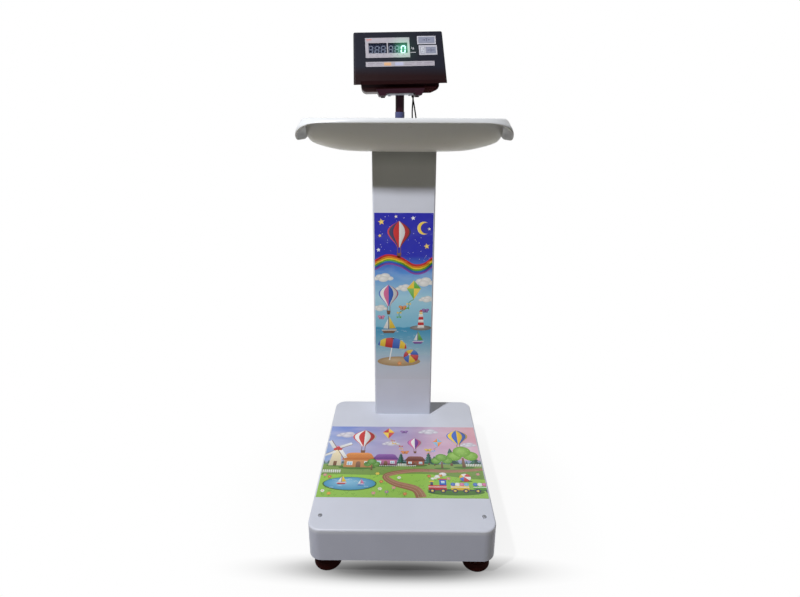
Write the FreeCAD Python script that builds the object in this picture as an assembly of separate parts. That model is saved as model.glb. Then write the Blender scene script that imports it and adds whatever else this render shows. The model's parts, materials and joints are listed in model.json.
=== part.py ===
import FreeCAD, Part
import math
import os

# Digital baby weighing scale: a child's platform, a column with a baby tray on top, and an
# indicator head on a swivelling post behind the tray.
# Units are millimetres, +Z is up and -Y is the front. While building, z = 0 is the floor and
# y = 0 is the front face of the platform. Every part is exported with y counted from the middle
# of the object's box, ORIGIN_Y behind that face.

V = FreeCAD.Vector
X_AXIS, Y_AXIS, Z_AXIS = V(1, 0, 0), V(0, 1, 0), V(0, 0, 1)

# ---- driving dimensions: screws, by their radius ------------------------------------------
M3, M4, M5, M6, M8, M10 = 1.5, 2.0, 2.5, 3.0, 4.0, 5.0
M3_HEAD_R, M4_HEAD_R, M5_HEAD_R = 2.8, 3.6, 4.6
M6_FLATS, M8_FLATS, M10_FLATS = 10.0, 13.0, 17.0    # hexagons, across the flats
M6_HEAD_H, M8_HEAD_H = 3.5, 5.3

# ---- driving dimensions: platform ---------------------------------------------------------
ORIGIN_Y = 364.5            # middle of the whole object, from the platform's front face
PLATFORM_W = 400.0
PLATFORM_D = 500.0
PLATFORM_TOP = 118.0        # standing surface above the floor
SKIRT_H = 80.0
PLAN_R = 28.0               # corner radius of the platform, seen from above
TOP_EDGE_R = 4.0
SHEET = 2.0
FILM = 0.2                  # thickness of the picture films
FILM_Y0, FILM_Y1 = 94.0, 367.0
COVER_SCREW_X, COVER_SCREW_Y = 177.0, 40.0
CABLE_HOLE, CABLE_HOLE_R = (0.0, 480.0), 6.0    # for the load cell's cable, column to platform

# ---- driving dimensions: feet and frames under the platform -------------------------------
FOOT_X, FOOT_IN = 163.0, 37.0    # foot axis from the middle plane, and from the front or back face
PAD_R, PAD_H = 30.0, 32.0
PAD_FLOOR = 10.0            # rubber under the end of the levelling screw
STUD_TOP = 76.0
NUT_H = 8.0
THREAD_PLAY = 0.05
RAIL_W, RAIL_Z0, RAIL_Z1, RAIL_WALL = 30.0, 42.0, 62.0, 2.0
RAIL_INSET = 22.0           # end of a side rail from the platform's front or back face
CELL_RAIL_Y0, CELL_RAIL_Y1, CELL_RAIL_WALL = 165.0, 210.0, 3.0
CELL_W, CELL_LEN, CELL_H = 40.0, 150.0, 26.0
CELL_Y0 = 175.0
CELL_BORE_R, CELL_BORE_OFF = 9.5, 17.0
CELL_BOLT_X = 11.0
CELL_BOLT_LOW_Y, CELL_BOLT_HIGH_Y = 188.0, 312.0
TAP_DEPTH = 15.0
SPACER_T = 4.0
BOLT_PLAY = 0.5
SPANNER_R = 9.0             # holes above the load cell's upper bolts
UPPER_W, UPPER_WALL = 20.0, 2.0
UPPER_X = 152.0
UPPER_END_HALF = 190.0
UPPER_ENDS = ((30.0, 50.0), (450.0, 470.0))     # y ranges of the long crossbars
UPPER_MID = (290.0, 330.0)                      # y range of the crossbar on the load cell
STOP_X, STOP_YS = 155.0, (95.0, 405.0)
STOP_GAP = 1.2

# ---- driving dimensions: column -----------------------------------------------------------
COLUMN_W = 160.0
COLUMN_D = 60.0
COLUMN_FRONT = 432.0
COLUMN_H = 742.0
COLUMN_SHEET = 1.5
COLUMN_EDGE_R = 4.0
COLUMN_PLATE_T = 5.0
COLUMN_BOLT_X, COLUMN_BOLT_Y = 56.0, 460.0
COLUMN_FILM_HALF, COLUMN_FILM_Z0, COLUMN_FILM_Z1 = 76.0, 232.0, 707.0
INLET_X, INLET_Z = 25.0, 200.0
INLET_W, INLET_H, INLET_DEPTH = 27.0, 20.0, 24.0
INLET_SCREW_OFF, INLET_FLANGE_T = 20.0, 3.0
GROMMET_X, GROMMET_Z, GROMMET_R = 27.0, 826.0, 9.0
GROMMET_LIP = 1.5
CABLE_R, CABLE_OFF = 2.0, 3.6    # each cable's radius and distance from the grommet's middle

# ---- driving dimensions: tray -------------------------------------------------------------
TRAY_WALL = 4.0
TRAY_Y = 465.0              # middle of the tray
TRAY_SCREW_X, TRAY_SCREW_Y = 55.0, 16.0
WASHER_R, WASHER_T = 7.0, 1.0
# The upper surface of the tray, from the edge of its flat floor out over the rim to the lower
# edge of its lip: distance from the middle and height above the floor, across the long sides
# and at the two ends. The lip is a short roll along the sides and a deep handle at the ends.
SIDE_SECTION = [(62, 0), (75, 0.6), (88, 4), (99, 11), (109, 22), (117.5, 36), (123, 50), (127, 61),
                (129, 69), (133.5, 72.8), (139, 72), (142, 68), (142.8, 64), (143, 61)]
END_SECTION = [(130, 0), (150, 0.8), (170, 4.5), (190, 9.5), (209, 15), (225, 21), (230.5, 35), (231.5, 51),
               (231.5, 66), (235.5, 73.5), (244, 71), (250.5, 56), (258, 39), (260, 21)]
# Exponents of the outline, from the rounder floor to the squarer wall, rim and lip.
OUTLINE = [3.0, 3.1, 3.4, 3.8, 4.4, 5.0, 5.2, 5.0, 4.8, 4.6, 4.6, 4.8, 5.2, 5.4]
END_BLEND_FROM, END_BLEND_OVER = 0.62, 0.35     # where the side's height turns into the end's
TRAY_STEPS = 72             # poles round the tray

# ---- driving dimensions: arm and post -----------------------------------------------------
POST_X, POST_Y = -13.0, 632.0
POST_R, POST_WALL = 12.0, 1.6
POST_FIT = 0.06             # running clearance between post and socket
POST_BOTTOM = 875.0
SOCKET_R = 13.2
SOCKET_TOP = 955.0
ARM_Z = 790.0
ARM_BEND_R = 45.0
ARM_FLANGE_HALF, ARM_FLANGE_T = 28.0, 5.0
ARM_SCREW_OFF = 20.0
CLAMP_Z = 938.0
KNOB_R, KNOB_T, KNOB_LOBES = 9.0, 9.0, 5

# ---- driving dimensions: indicator head, with x and y counted from the post ----------------
HEAD_YAW = 4.3              # turn of the head about its post at rest, degrees
HEAD_TILT = -1.6            # slight sideways lean of the head on its plate
PLATE_BOTTOM, PLATE_T = 999.5, 3.0
PLATE_HALF_X, PLATE_HALF_Y = 38.0, 25.0
PLATE_SCREW_X, PLATE_SCREW_Y = 28.0, 15.0
COLLAR_H = 1.0
SADDLE_HALF_TOP, SADDLE_HALF_LOW = 65.5, 57.0
SADDLE_BOTTOM, SADDLE_FRONT, SADDLE_BACK = 996.5, -40.0, 36.0
SADDLE_RISE = 7.0           # how far the saddle's feet reach up the lower case
MOUNT_BOLT_X = 47.0
CASE_SPLIT, SPLIT_RISE = 1025.0, 11.0    # joint of the case's two halves in front; its rise to the back
CASE_BOTTOM = 1007.0
CASE_TOP = 1163.0
CASE_WALL = 2.5
CASE_EDGE_R = 5.0
CASE_REAR_LOW, CASE_REAR_TOP, CASE_REAR_Z = 91.5, 47.0, 1158.5
CASE_SCREW_X, CASE_SCREW_YS = 98.0, (-22.0, 70.0)
CASE_BOSS_R, CASE_BOSS_H, CASE_TAP_DEPTH = 4.0, 60.0, 10.0    # bosses reach the panel or the back
CASE_SCREW_GRIP = 8.0       # a case screw's head bears this far below the joint
NOSE_Y, NOSE_Z, NOSE_LOW_Y = -43.5, 1043.0, -41.5    # foremost line of the nose, and its lower end
COVER_HALF_LOW, COVER_HALF_TOP = 124.8, 120.3
LOWER_HALF = 105.5
LOWER_FRONT, LOWER_BACK = -36.0, 82.0
LOWER_CORNER_R, LOWER_EDGE_R = 10.0, 15.0
GLAND_X, GLAND_YS = 41.0, (44.0, 57.0)
GLAND_END, GLAND_NECK_R = 995.0, 5.0

# ---- driving dimensions: front panel, counted right and up the slope -----------------------
PANEL_LEAN = 26.7           # degrees from vertical
PANEL_Y, PANEL_Z = -30.0, 1062.0    # lower end of the flat panel, from the post's axis
PANEL_LEN = 111.5
# Left, right, lower and upper edge of each thing on the panel.
WINDOW = (-81.0, 23.3, 47.6, 78.0)
BEZEL = (-89.5, 29.4, 34.8, 93.2)
KEY_FRAMES = ((50.5, 101.0, 72.7, 96.6), (54.0, 103.0, 41.0, 69.2))
KEYS = {"key_tare": (54.5, 97.5, 76.0, 93.5), "key_unit": (58.5, 70.0, 45.5, 64.0),
        "key_zero": (73.0, 99.5, 45.5, 64.0)}
STRIP = (-90.0, 93.7, 9.2, 23.2)
BEZEL_T, KEY_FRAME_T, STRIP_T = 0.8, 0.6, 0.4
WINDOW_PROUD = 0.1
DIVIDER_S, DIVIDER_W = -30.4, 3.2
KEY_PLAY, KEY_PROUD, KEY_STEM = 0.4, 0.9, 3.6
DIGITS_S = (-56.3, -2.8)    # middles of the two digit modules
DIGITS_HALF_W, DIGITS_HALF_H = 25.0, 14.0
BOARD = (-88.0, 104.0, 30.0, 98.0)
BOARD_FACE, BOARD_T = -12.0, 2.0

# ---- driving dimensions: power rocker on the sloping back ----------------------------------
ROCKER_X, ROCKER_UP = 70.0, 45.0    # from the back's middle and up from its lower edge
ROCKER_HALF_W, ROCKER_HALF_H = 6.2, 9.5
ROCKER_PIVOT = -2.0         # axis, from the face of the back
ROCKER_THROW = 8.0          # degrees each side of neutral
SWITCH_HALF_W, SWITCH_HALF_H = 7.5, 11.0

# ---- derived ------------------------------------------------------------------------------
SKIRT_BOTTOM = PLATFORM_TOP - SKIRT_H
COVER_UNDER = PLATFORM_TOP - SHEET
FOOT_YS = (FOOT_IN, PLATFORM_D - FOOT_IN)
UPPER_Z0 = RAIL_Z1 + SPACER_T + CELL_H + SPACER_T
COLUMN_BACK = COLUMN_FRONT + COLUMN_D
COLUMN_TOP = PLATFORM_TOP + COLUMN_H
COLUMN_MID = (COLUMN_FRONT + COLUMN_BACK) / 2
TRAY_FLOOR = COLUMN_TOP + TRAY_WALL
CASE_FLOOR = CASE_BOTTOM + CASE_WALL
COS_LEAN, SIN_LEAN = math.cos(math.radians(PANEL_LEAN)), math.sin(math.radians(PANEL_LEAN))
REAR_LEAN = math.degrees(math.atan2(CASE_REAR_LOW - CASE_REAR_TOP, CASE_REAR_Z - CASE_SPLIT))


# ---- helpers ------------------------------------------------------------------------------
def box(x0, x1, y0, y1, z0, z1):
    return Part.makeBox(x1 - x0, y1 - y0, z1 - z0, V(x0, y0, z0))


def rod(radius, start, end):
    start, end = V(*start), V(*end)
    return Part.makeCylinder(radius, (end - start).Length, start, end - start)


def ring(outer, inner, start, end):
    return rod(outer, start, end).cut(rod(inner, start, end))


def hexagon(across_flats, x, y, z0, z1):
    corner_r = across_flats / math.sqrt(3)
    corners = [V(x + corner_r * math.cos(k * math.pi / 3), y + corner_r * math.sin(k * math.pi / 3), z0)
               for k in range(6)]
    face = Part.Face(Part.makePolygon(corners + corners[:1]))
    return face.extrude(V(0, 0, z1 - z0))


def round_edges(shape, radius, wanted):
    """Rounds the edges for which wanted(edge) is true."""
    edges = [edge for edge in shape.Edges if wanted(edge)]
    return shape.makeFillet(radius, edges)


def runs_along(edge, axis):
    if not isinstance(edge.Curve, Part.Line):
        return False
    return abs(edge.Curve.Direction.dot(axis)) > 0.999


def rounded_block(x0, x1, y0, y1, z0, z1, radius, axis=Z_AXIS):
    """A block whose four edges along the axis are rounded."""
    return round_edges(box(x0, x1, y0, y1, z0, z1), radius, lambda edge: runs_along(edge, axis))


def tube(x0, x1, y0, y1, z0, z1, wall, axis):
    """Rectangular tube, open at both ends of its axis."""
    dx, dy, dz = [0 if component else wall for component in axis]
    return box(x0, x1, y0, y1, z0, z1).cut(
        box(x0 + dx, x1 - dx, y0 + dy, y1 - dy, z0 + dz, z1 - dz))


def cut_all(shape, tools):
    return shape.cut(Part.makeCompound(tools))


def pan_screw(x, y, top, shank_r, head_r, head_h, length):
    """Screw with a domed head above z = top and its shank below."""
    head = rod(head_r, (x, y, top), (x, y, top + head_h))
    head = round_edges(head, head_h * 0.6, lambda edge: edge.BoundBox.ZMin > top + head_h - 0.01)
    slot_z = top + head_h * 0.55
    cross = box(x - head_r * 0.55, x + head_r * 0.55, y - 0.5, y + 0.5, slot_z, top + head_h + 1)
    cross = cross.fuse(box(x - 0.5, x + 0.5, y - head_r * 0.55, y + head_r * 0.55, slot_z, top + head_h + 1))
    return head.cut(cross).fuse(rod(shank_r, (x, y, top - length), (x, y, top)))


def mirrored_x(shape):
    return shape.mirror(V(0, 0, 0), X_AXIS)


def both_sides(shape):
    return Part.makeCompound([shape, mirrored_x(shape)])


# ---- base ---------------------------------------------------------------------------------
def base_side_rails():
    y0, y1 = RAIL_INSET, PLATFORM_D - RAIL_INSET
    rail = tube(FOOT_X - RAIL_W / 2, FOOT_X + RAIL_W / 2, y0, y1, RAIL_Z0, RAIL_Z1, RAIL_WALL, Y_AXIS)
    holes = [rod(M10 + BOLT_PLAY, (FOOT_X, y, RAIL_Z0 - 1), (FOOT_X, y, RAIL_Z1 + 1)) for y in FOOT_YS]
    holes += [rod(M6, (STOP_X, y, RAIL_Z1 - 3), (STOP_X, y, RAIL_Z1 + 1)) for y in STOP_YS]
    return both_sides(cut_all(rail, holes))


def base_cross_rails():
    half = FOOT_X - RAIL_W / 2
    ends = [tube(-half, half, y - RAIL_W / 2, y + RAIL_W / 2, RAIL_Z0, RAIL_Z1, RAIL_WALL, X_AXIS)
            for y in FOOT_YS]
    cell_rail = tube(-half, half, CELL_RAIL_Y0, CELL_RAIL_Y1, RAIL_Z0, RAIL_Z1, CELL_RAIL_WALL, X_AXIS)
    holes = [rod(M8 + BOLT_PLAY, (x, CELL_BOLT_LOW_Y, RAIL_Z0 - 1), (x, CELL_BOLT_LOW_Y, RAIL_Z1 + 1))
             for x in (-CELL_BOLT_X, CELL_BOLT_X)]
    return Part.makeCompound(ends + [cut_all(cell_rail, holes)])


def foot_nuts():
    nuts = []
    for x in (-FOOT_X, FOOT_X):
        for y in FOOT_YS:
            bore = rod(M10 + THREAD_PLAY, (x, y, RAIL_Z1 - 1), (x, y, RAIL_Z1 + NUT_H + 1))
            nuts.append(hexagon(M10_FLATS, x, y, RAIL_Z1, RAIL_Z1 + NUT_H).cut(bore))
    return Part.makeCompound(nuts)


def overload_stops():
    """Bolts that the upper frame meets when the load is too great."""
    stops = []
    for x in (-STOP_X, STOP_X):
        for y in STOP_YS:
            shank = rod(M6, (x, y, RAIL_Z1 - RAIL_WALL), (x, y, UPPER_Z0 - STOP_GAP))
            stops.append(shank.fuse(hexagon(M6_FLATS, x, y, RAIL_Z1, RAIL_Z1 + 5)))
    return Part.makeCompound(stops)


def load_cell():
    """Single-point cell: a block with two joined bores that let it bend as a parallelogram."""
    z0 = RAIL_Z1 + SPACER_T
    mid_y, mid_z = CELL_Y0 + CELL_LEN / 2, z0 + CELL_H / 2
    body = box(-CELL_W / 2, CELL_W / 2, CELL_Y0, CELL_Y0 + CELL_LEN, z0, z0 + CELL_H)
    bores = [rod(CELL_BORE_R, (-CELL_W, mid_y + dy, mid_z), (CELL_W, mid_y + dy, mid_z))
             for dy in (-CELL_BORE_OFF, CELL_BORE_OFF)]
    slot = box(-CELL_W, CELL_W, mid_y - CELL_BORE_OFF, mid_y + CELL_BORE_OFF, mid_z - 3, mid_z + 3)
    top = z0 + CELL_H
    low_y, high_y = CELL_BOLT_LOW_Y, CELL_BOLT_HIGH_Y
    taps = []
    for x in (-CELL_BOLT_X, CELL_BOLT_X):
        taps.append(rod(M8, (x, low_y, z0 - 1), (x, low_y, z0 + TAP_DEPTH)))
        taps.append(rod(M8 + BOLT_PLAY, (x, high_y, top - TAP_DEPTH), (x, high_y, top + 1)))
    return cut_all(body, bores + [slot] + taps)


def cell_spacer(y, z0):
    block = box(-CELL_W / 2, CELL_W / 2, y - 13, y + 13, z0, z0 + SPACER_T)
    return cut_all(block, [rod(M8 + BOLT_PLAY, (x, y, z0 - 1), (x, y, z0 + SPACER_T + 1))
                           for x in (-CELL_BOLT_X, CELL_BOLT_X)])


def cell_bolts_lower():
    bolts = []
    for x in (-CELL_BOLT_X, CELL_BOLT_X):
        y = CELL_BOLT_LOW_Y
        head = hexagon(M8_FLATS, x, y, RAIL_Z0 - M6_HEAD_H, RAIL_Z0)
        bolts.append(head.fuse(rod(M8, (x, y, RAIL_Z0 - 1), (x, y, RAIL_Z1 + SPACER_T + TAP_DEPTH - 1))))
    return Part.makeCompound(bolts)


def cell_bolts_upper():
    seat = UPPER_Z0 + UPPER_WALL
    bolts = []
    for x in (-CELL_BOLT_X, CELL_BOLT_X):
        y = CELL_BOLT_HIGH_Y
        head = hexagon(M8_FLATS, x, y, seat, seat + M8_HEAD_H)
        bolts.append(head.fuse(rod(M8, (x, y, UPPER_Z0 - SPACER_T - TAP_DEPTH + 1), (x, y, seat + 1))))
    return Part.makeCompound(bolts)


# ---- levelling feet -----------------------------------------------------------------------
def foot_pad(x, y):
    """Moulded rubber foot with a rounded lower edge and a slight taper."""
    body = Part.makeCone(PAD_R, PAD_R - 2, PAD_H, V(x, y, 0))
    body = body.makeFillet(3.0, [edge for edge in body.Edges if edge.BoundBox.ZMax < 0.1])
    grooves = [ring(PAD_R + 2, PAD_R - 2.2, (x, y, z), (x, y, z + 1.2)) for z in (20.0, 24.0)]
    return cut_all(body, grooves + [rod(M10, (x, y, PAD_FLOOR), (x, y, PAD_H + 1))])


def foot_stud(x, y):
    """Levelling screw with a fixed hexagon under the rail."""
    stud = rod(M10, (x, y, PAD_FLOOR), (x, y, STUD_TOP))
    stud = stud.makeChamfer(0.8, [edge for edge in stud.Edges if edge.BoundBox.ZMin > STUD_TOP - 0.1])
    return stud.fuse(hexagon(15.0, x, y, PAD_H, PAD_H + 5))


# ---- platform -----------------------------------------------------------------------------
def upper_frame():
    """Two long rails, two crossbars at the ends and a wide one on the load cell."""
    rail = tube(UPPER_X - UPPER_W / 2, UPPER_X + UPPER_W / 2, UPPER_ENDS[0][1], UPPER_ENDS[1][0],
                UPPER_Z0, COVER_UNDER, UPPER_WALL, Y_AXIS)
    bars = [tube(-UPPER_END_HALF, UPPER_END_HALF, y0, y1, UPPER_Z0, COVER_UNDER, UPPER_WALL, X_AXIS)
            for y0, y1 in UPPER_ENDS]
    front_holes = [rod(M5, (x, COVER_SCREW_Y, COVER_UNDER - 4), (x, COVER_SCREW_Y, COVER_UNDER + 1))
                   for x in (-COVER_SCREW_X, COVER_SCREW_X)]
    column_holes = [rod(M8, (x, COLUMN_BOLT_Y, COVER_UNDER - 4), (x, COLUMN_BOLT_Y, COVER_UNDER + 1))
                    for x in (-COLUMN_BOLT_X, COLUMN_BOLT_X)]
    half_mid = UPPER_X - UPPER_W / 2
    mid = tube(-half_mid, half_mid, UPPER_MID[0], UPPER_MID[1], UPPER_Z0, COVER_UNDER, UPPER_WALL, X_AXIS)
    y = CELL_BOLT_HIGH_Y
    low_z = UPPER_Z0 + UPPER_WALL
    mid_holes = []
    for x in (-CELL_BOLT_X, CELL_BOLT_X):
        mid_holes.append(rod(M8 + BOLT_PLAY, (x, y, UPPER_Z0 - 1), (x, y, low_z + 1)))
        mid_holes.append(rod(SPANNER_R, (x, y, COVER_UNDER - UPPER_WALL - 1), (x, y, COVER_UNDER + 1)))
    return Part.makeCompound([rail, mirrored_x(rail), cut_all(bars[0], front_holes),
                              cut_all(bars[1], column_holes), cut_all(mid, mid_holes)])


def platform_cover():
    """Sheet-steel pan, open below, with rounded corners and a rounded upper edge."""
    half = PLATFORM_W / 2
    shell = rounded_block(-half, half, 0, PLATFORM_D, SKIRT_BOTTOM, PLATFORM_TOP, PLAN_R)
    shell = round_edges(shell, TOP_EDGE_R, lambda edge: edge.BoundBox.ZMin > PLATFORM_TOP - 0.01)
    inside = rounded_block(-half + SHEET, half - SHEET, SHEET, PLATFORM_D - SHEET,
                           SKIRT_BOTTOM - 1, COVER_UNDER, PLAN_R - SHEET)
    inside = round_edges(inside, TOP_EDGE_R - SHEET, lambda edge: edge.BoundBox.ZMin > COVER_UNDER - 0.01)
    holes = [rod(M5, (x, COVER_SCREW_Y, COVER_UNDER - 1), (x, COVER_SCREW_Y, PLATFORM_TOP + 1))
             for x in (-COVER_SCREW_X, COVER_SCREW_X)]
    holes += [rod(M8, (x, COLUMN_BOLT_Y, COVER_UNDER - 1), (x, COLUMN_BOLT_Y, PLATFORM_TOP + 1))
              for x in (-COLUMN_BOLT_X, COLUMN_BOLT_X)]
    holes.append(rod(CABLE_HOLE_R, CABLE_HOLE + (COVER_UNDER - 1,), CABLE_HOLE + (PLATFORM_TOP + 1,)))
    return cut_all(shell.cut(inside), holes)


def platform_film():
    half = PLATFORM_W / 2 - TOP_EDGE_R
    return box(-half, half, FILM_Y0, FILM_Y1, PLATFORM_TOP, PLATFORM_TOP + FILM)


def column_film():
    return box(-COLUMN_FILM_HALF, COLUMN_FILM_HALF, COLUMN_FRONT - FILM, COLUMN_FRONT,
               COLUMN_FILM_Z0, COLUMN_FILM_Z1)


def cover_screws():
    return Part.makeCompound([pan_screw(x, COVER_SCREW_Y, PLATFORM_TOP, M5, M5_HEAD_R, 1.8, 6.0)
                              for x in (-COVER_SCREW_X, COVER_SCREW_X)])


# ---- column -------------------------------------------------------------------------------
def arm_screw_places():
    return [(POST_X + dx, ARM_Z + dz) for dx in (-ARM_SCREW_OFF, ARM_SCREW_OFF)
            for dz in (-ARM_SCREW_OFF, ARM_SCREW_OFF)]


def tray_screw_places():
    return [(x, COLUMN_MID + dy) for x in (-TRAY_SCREW_X, TRAY_SCREW_X)
            for dy in (-TRAY_SCREW_Y, TRAY_SCREW_Y)]


def inlet_screw_xs():
    return (INLET_X - INLET_SCREW_OFF, INLET_X + INLET_SCREW_OFF)


def column():
    half = COLUMN_W / 2
    shell = rounded_block(-half, half, COLUMN_FRONT, COLUMN_BACK, PLATFORM_TOP, COLUMN_TOP, COLUMN_EDGE_R)
    t = COLUMN_SHEET
    inside = rounded_block(-half + t, half - t, COLUMN_FRONT + t, COLUMN_BACK - t,
                           PLATFORM_TOP - 1, COLUMN_TOP + 1, COLUMN_EDGE_R - t)
    y0, y1 = COLUMN_BACK - t - 1, COLUMN_BACK + 1
    holes = [rod(GROMMET_R - GROMMET_LIP, (GROMMET_X, y0, GROMMET_Z), (GROMMET_X, y1, GROMMET_Z)),
             box(INLET_X - INLET_W / 2, INLET_X + INLET_W / 2, y0, y1,
                 INLET_Z - INLET_H / 2, INLET_Z + INLET_H / 2)]
    holes += [rod(M5, (x, y0, z), (x, y1, z)) for x, z in arm_screw_places()]
    holes += [rod(M3, (x, y0, INLET_Z), (x, y1, INLET_Z)) for x in inlet_screw_xs()]
    return cut_all(shell.cut(inside), holes)


def column_plate(z0, holes):
    """Plate welded inside the column at one end."""
    t = COLUMN_SHEET
    half = COLUMN_W / 2 - t
    plate = rounded_block(-half, half, COLUMN_FRONT + t, COLUMN_BACK - t, z0, z0 + COLUMN_PLATE_T,
                          COLUMN_EDGE_R - t)
    top = z0 + COLUMN_PLATE_T
    return cut_all(plate, [rod(radius, (x, y, z0 - 1), (x, y, top + 1)) for x, y, radius in holes])


def column_end_plates():
    foot_holes = [(x, COLUMN_BOLT_Y, M8) for x in (-COLUMN_BOLT_X, COLUMN_BOLT_X)]
    foot_holes.append(CABLE_HOLE + (CABLE_HOLE_R,))
    top_holes = [(x, y, M5) for x, y in tray_screw_places()]
    return Part.makeCompound([column_plate(PLATFORM_TOP, foot_holes),
                              column_plate(COLUMN_TOP - COLUMN_PLATE_T, top_holes)])


def column_bolts():
    top = PLATFORM_TOP + COLUMN_PLATE_T
    return Part.makeCompound([
        hexagon(M8_FLATS, x, COLUMN_BOLT_Y, top, top + M8_HEAD_H).fuse(
            rod(M8, (x, COLUMN_BOLT_Y, COVER_UNDER - 4), (x, COLUMN_BOLT_Y, top + 1)))
        for x in (-COLUMN_BOLT_X, COLUMN_BOLT_X)])


# ---- tray ---------------------------------------------------------------------------------
def offset_section(section, distance):
    """The same line moved by a distance to its outer, lower side."""
    moved = []
    for k, (r, z) in enumerate(section):
        r0, z0 = section[max(k - 1, 0)]
        r1, z1 = section[min(k + 1, len(section) - 1)]
        length = math.hypot(r1 - r0, z1 - z0)
        moved.append((r + distance * (z1 - z0) / length, z - distance * (r1 - r0) / length))
    moved[0] = (section[0][0], section[0][1] - distance)
    return moved


def tray_ring(side, end, exponent):
    """One closed row of poles, between a side section's point and an end section's point."""
    row = []
    for k in range(TRAY_STEPS):
        angle = 2 * math.pi * k / TRAY_STEPS
        c, s = math.cos(angle), math.sin(angle)
        rho = (abs(c) ** exponent + abs(s) ** exponent) ** (1 / exponent)
        blend = min(max((abs(c) - END_BLEND_FROM) / END_BLEND_OVER, 0), 1)
        blend = blend * blend * (3 - 2 * blend)
        z = side[1] + (end[1] - side[1]) * blend
        row.append(V(end[0] * c / rho, TRAY_Y + side[0] * s / rho, TRAY_FLOOR + z))
    return row


def clamped_knots(count, degree=3):
    inner = count - degree - 1
    return list(range(inner + 2)), [degree + 1] + [1] * inner + [degree + 1]


def tray():
    """One smooth skin from the floor over the rim and back under, closed by two flat discs."""
    top = [tray_ring(s, e, n) for s, e, n in zip(SIDE_SECTION, END_SECTION, OUTLINE)]
    side_under, end_under = offset_section(SIDE_SECTION, TRAY_WALL), offset_section(END_SECTION, TRAY_WALL)
    under = [tray_ring(s, e, n) for s, e, n in zip(side_under, end_under, OUTLINE)]
    rows = top + under[::-1]
    knots, mults = clamped_knots(len(rows))
    surface = Part.BSplineSurface()
    surface.buildFromPolesMultsKnots(rows, mults, [1] * (TRAY_STEPS + 1), knots,
                                     list(range(TRAY_STEPS + 1)), False, True, 3, 3)
    skin = surface.toShape()
    discs = [Part.Face(Part.Wire(edge)) for edge in skin.Edges
             if edge.isClosed() and edge.BoundBox.ZLength < 0.001]
    faces = Part.makeCompound([skin] + discs)
    faces.sewShape(0.01)
    body = Part.Solid(faces.Shells[0])
    holes = [rod(M5, (x, y, COLUMN_TOP - 1), (x, y, TRAY_FLOOR + 1)) for x, y in tray_screw_places()]
    return cut_all(body, holes).Solids[0]


def tray_screws():
    """Screws with their washers on the tray's floor."""
    seat = TRAY_FLOOR + WASHER_T
    fixings = []
    for x, y in tray_screw_places():
        fixings.append(ring(WASHER_R, M5, (x, y, TRAY_FLOOR), (x, y, seat)))
        fixings.append(pan_screw(x, y, seat, M5, M5_HEAD_R, 2.6, TRAY_WALL + COLUMN_PLATE_T + 6))
    return Part.makeCompound(fixings)


# ---- arm that carries the post ------------------------------------------------------------
def arm_line():
    """Centre line of the arm: out of the column's back, round a bend and up behind the tray."""
    start = V(POST_X, COLUMN_BACK + ARM_FLANGE_T, ARM_Z)
    bend_in = V(POST_X, POST_Y - ARM_BEND_R, ARM_Z)
    bend_out = V(POST_X, POST_Y, ARM_Z + ARM_BEND_R)
    half_turn = math.pi / 4
    corner = V(POST_X, bend_in.y + ARM_BEND_R * math.sin(half_turn),
               ARM_Z + ARM_BEND_R * (1 - math.cos(half_turn)))
    end = V(POST_X, POST_Y, SOCKET_TOP)
    edges = [Part.LineSegment(start, bend_in), Part.Arc(bend_in, corner, bend_out),
             Part.LineSegment(bend_out, end)]
    return Part.Wire([edge.toShape() for edge in edges])


def swept(line, radius, start, direction):
    profile = Part.Wire(Part.makeCircle(radius, start, direction))
    return line.makePipeShell([profile], True, True)


def arm_tube():
    start = V(POST_X, COLUMN_BACK + ARM_FLANGE_T, ARM_Z)
    outer = swept(arm_line(), SOCKET_R, start, Y_AXIS)
    pipe = outer.cut(swept(arm_line(), POST_R + POST_FIT, start, Y_AXIS))
    thread = rod(M5, (POST_X, POST_Y, CLAMP_Z), (POST_X, POST_Y + SOCKET_R + 1, CLAMP_Z))
    return pipe.cut(thread)


def arm_flange():
    y0 = COLUMN_BACK
    plate = rounded_block(POST_X - ARM_FLANGE_HALF, POST_X + ARM_FLANGE_HALF, y0, y0 + ARM_FLANGE_T,
                          ARM_Z - ARM_FLANGE_HALF, ARM_Z + ARM_FLANGE_HALF, 6.0, Y_AXIS)
    return cut_all(plate, [rod(M5, (x, y0 - 1, z), (x, y0 + ARM_FLANGE_T + 1, z))
                           for x, z in arm_screw_places()])


def arm_screws():
    y = COLUMN_BACK + ARM_FLANGE_T
    screws = []
    for x, z in arm_screw_places():
        head = rod(M5_HEAD_R, (x, y, z), (x, y + 3, z))
        socket = rod(M5_HEAD_R / 2, (x, y + 1, z), (x, y + 4, z))
        screws.append(head.cut(socket).fuse(rod(M5, (x, y - ARM_FLANGE_T - 8, z), (x, y, z))))
    return Part.makeCompound(screws)


def clamp_knob():
    """Screw with a lobed knob at the back of the socket that holds the post."""
    tip, knob = POST_Y + POST_R + 0.3, POST_Y + SOCKET_R + 5
    shank = rod(M5, (POST_X, tip, CLAMP_Z), (POST_X, knob, CLAMP_Z))
    head = rod(KNOB_R, (POST_X, knob, CLAMP_Z), (POST_X, knob + KNOB_T, CLAMP_Z))
    notches = []
    for k in range(KNOB_LOBES):
        angle = 2 * math.pi * k / KNOB_LOBES
        x, z = POST_X + 1.28 * KNOB_R * math.cos(angle), CLAMP_Z + 1.28 * KNOB_R * math.sin(angle)
        notches.append(rod(0.36 * KNOB_R, (x, knob - 1, z), (x, knob + KNOB_T + 1, z)))
    return cut_all(head, notches).fuse(shank)


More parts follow.
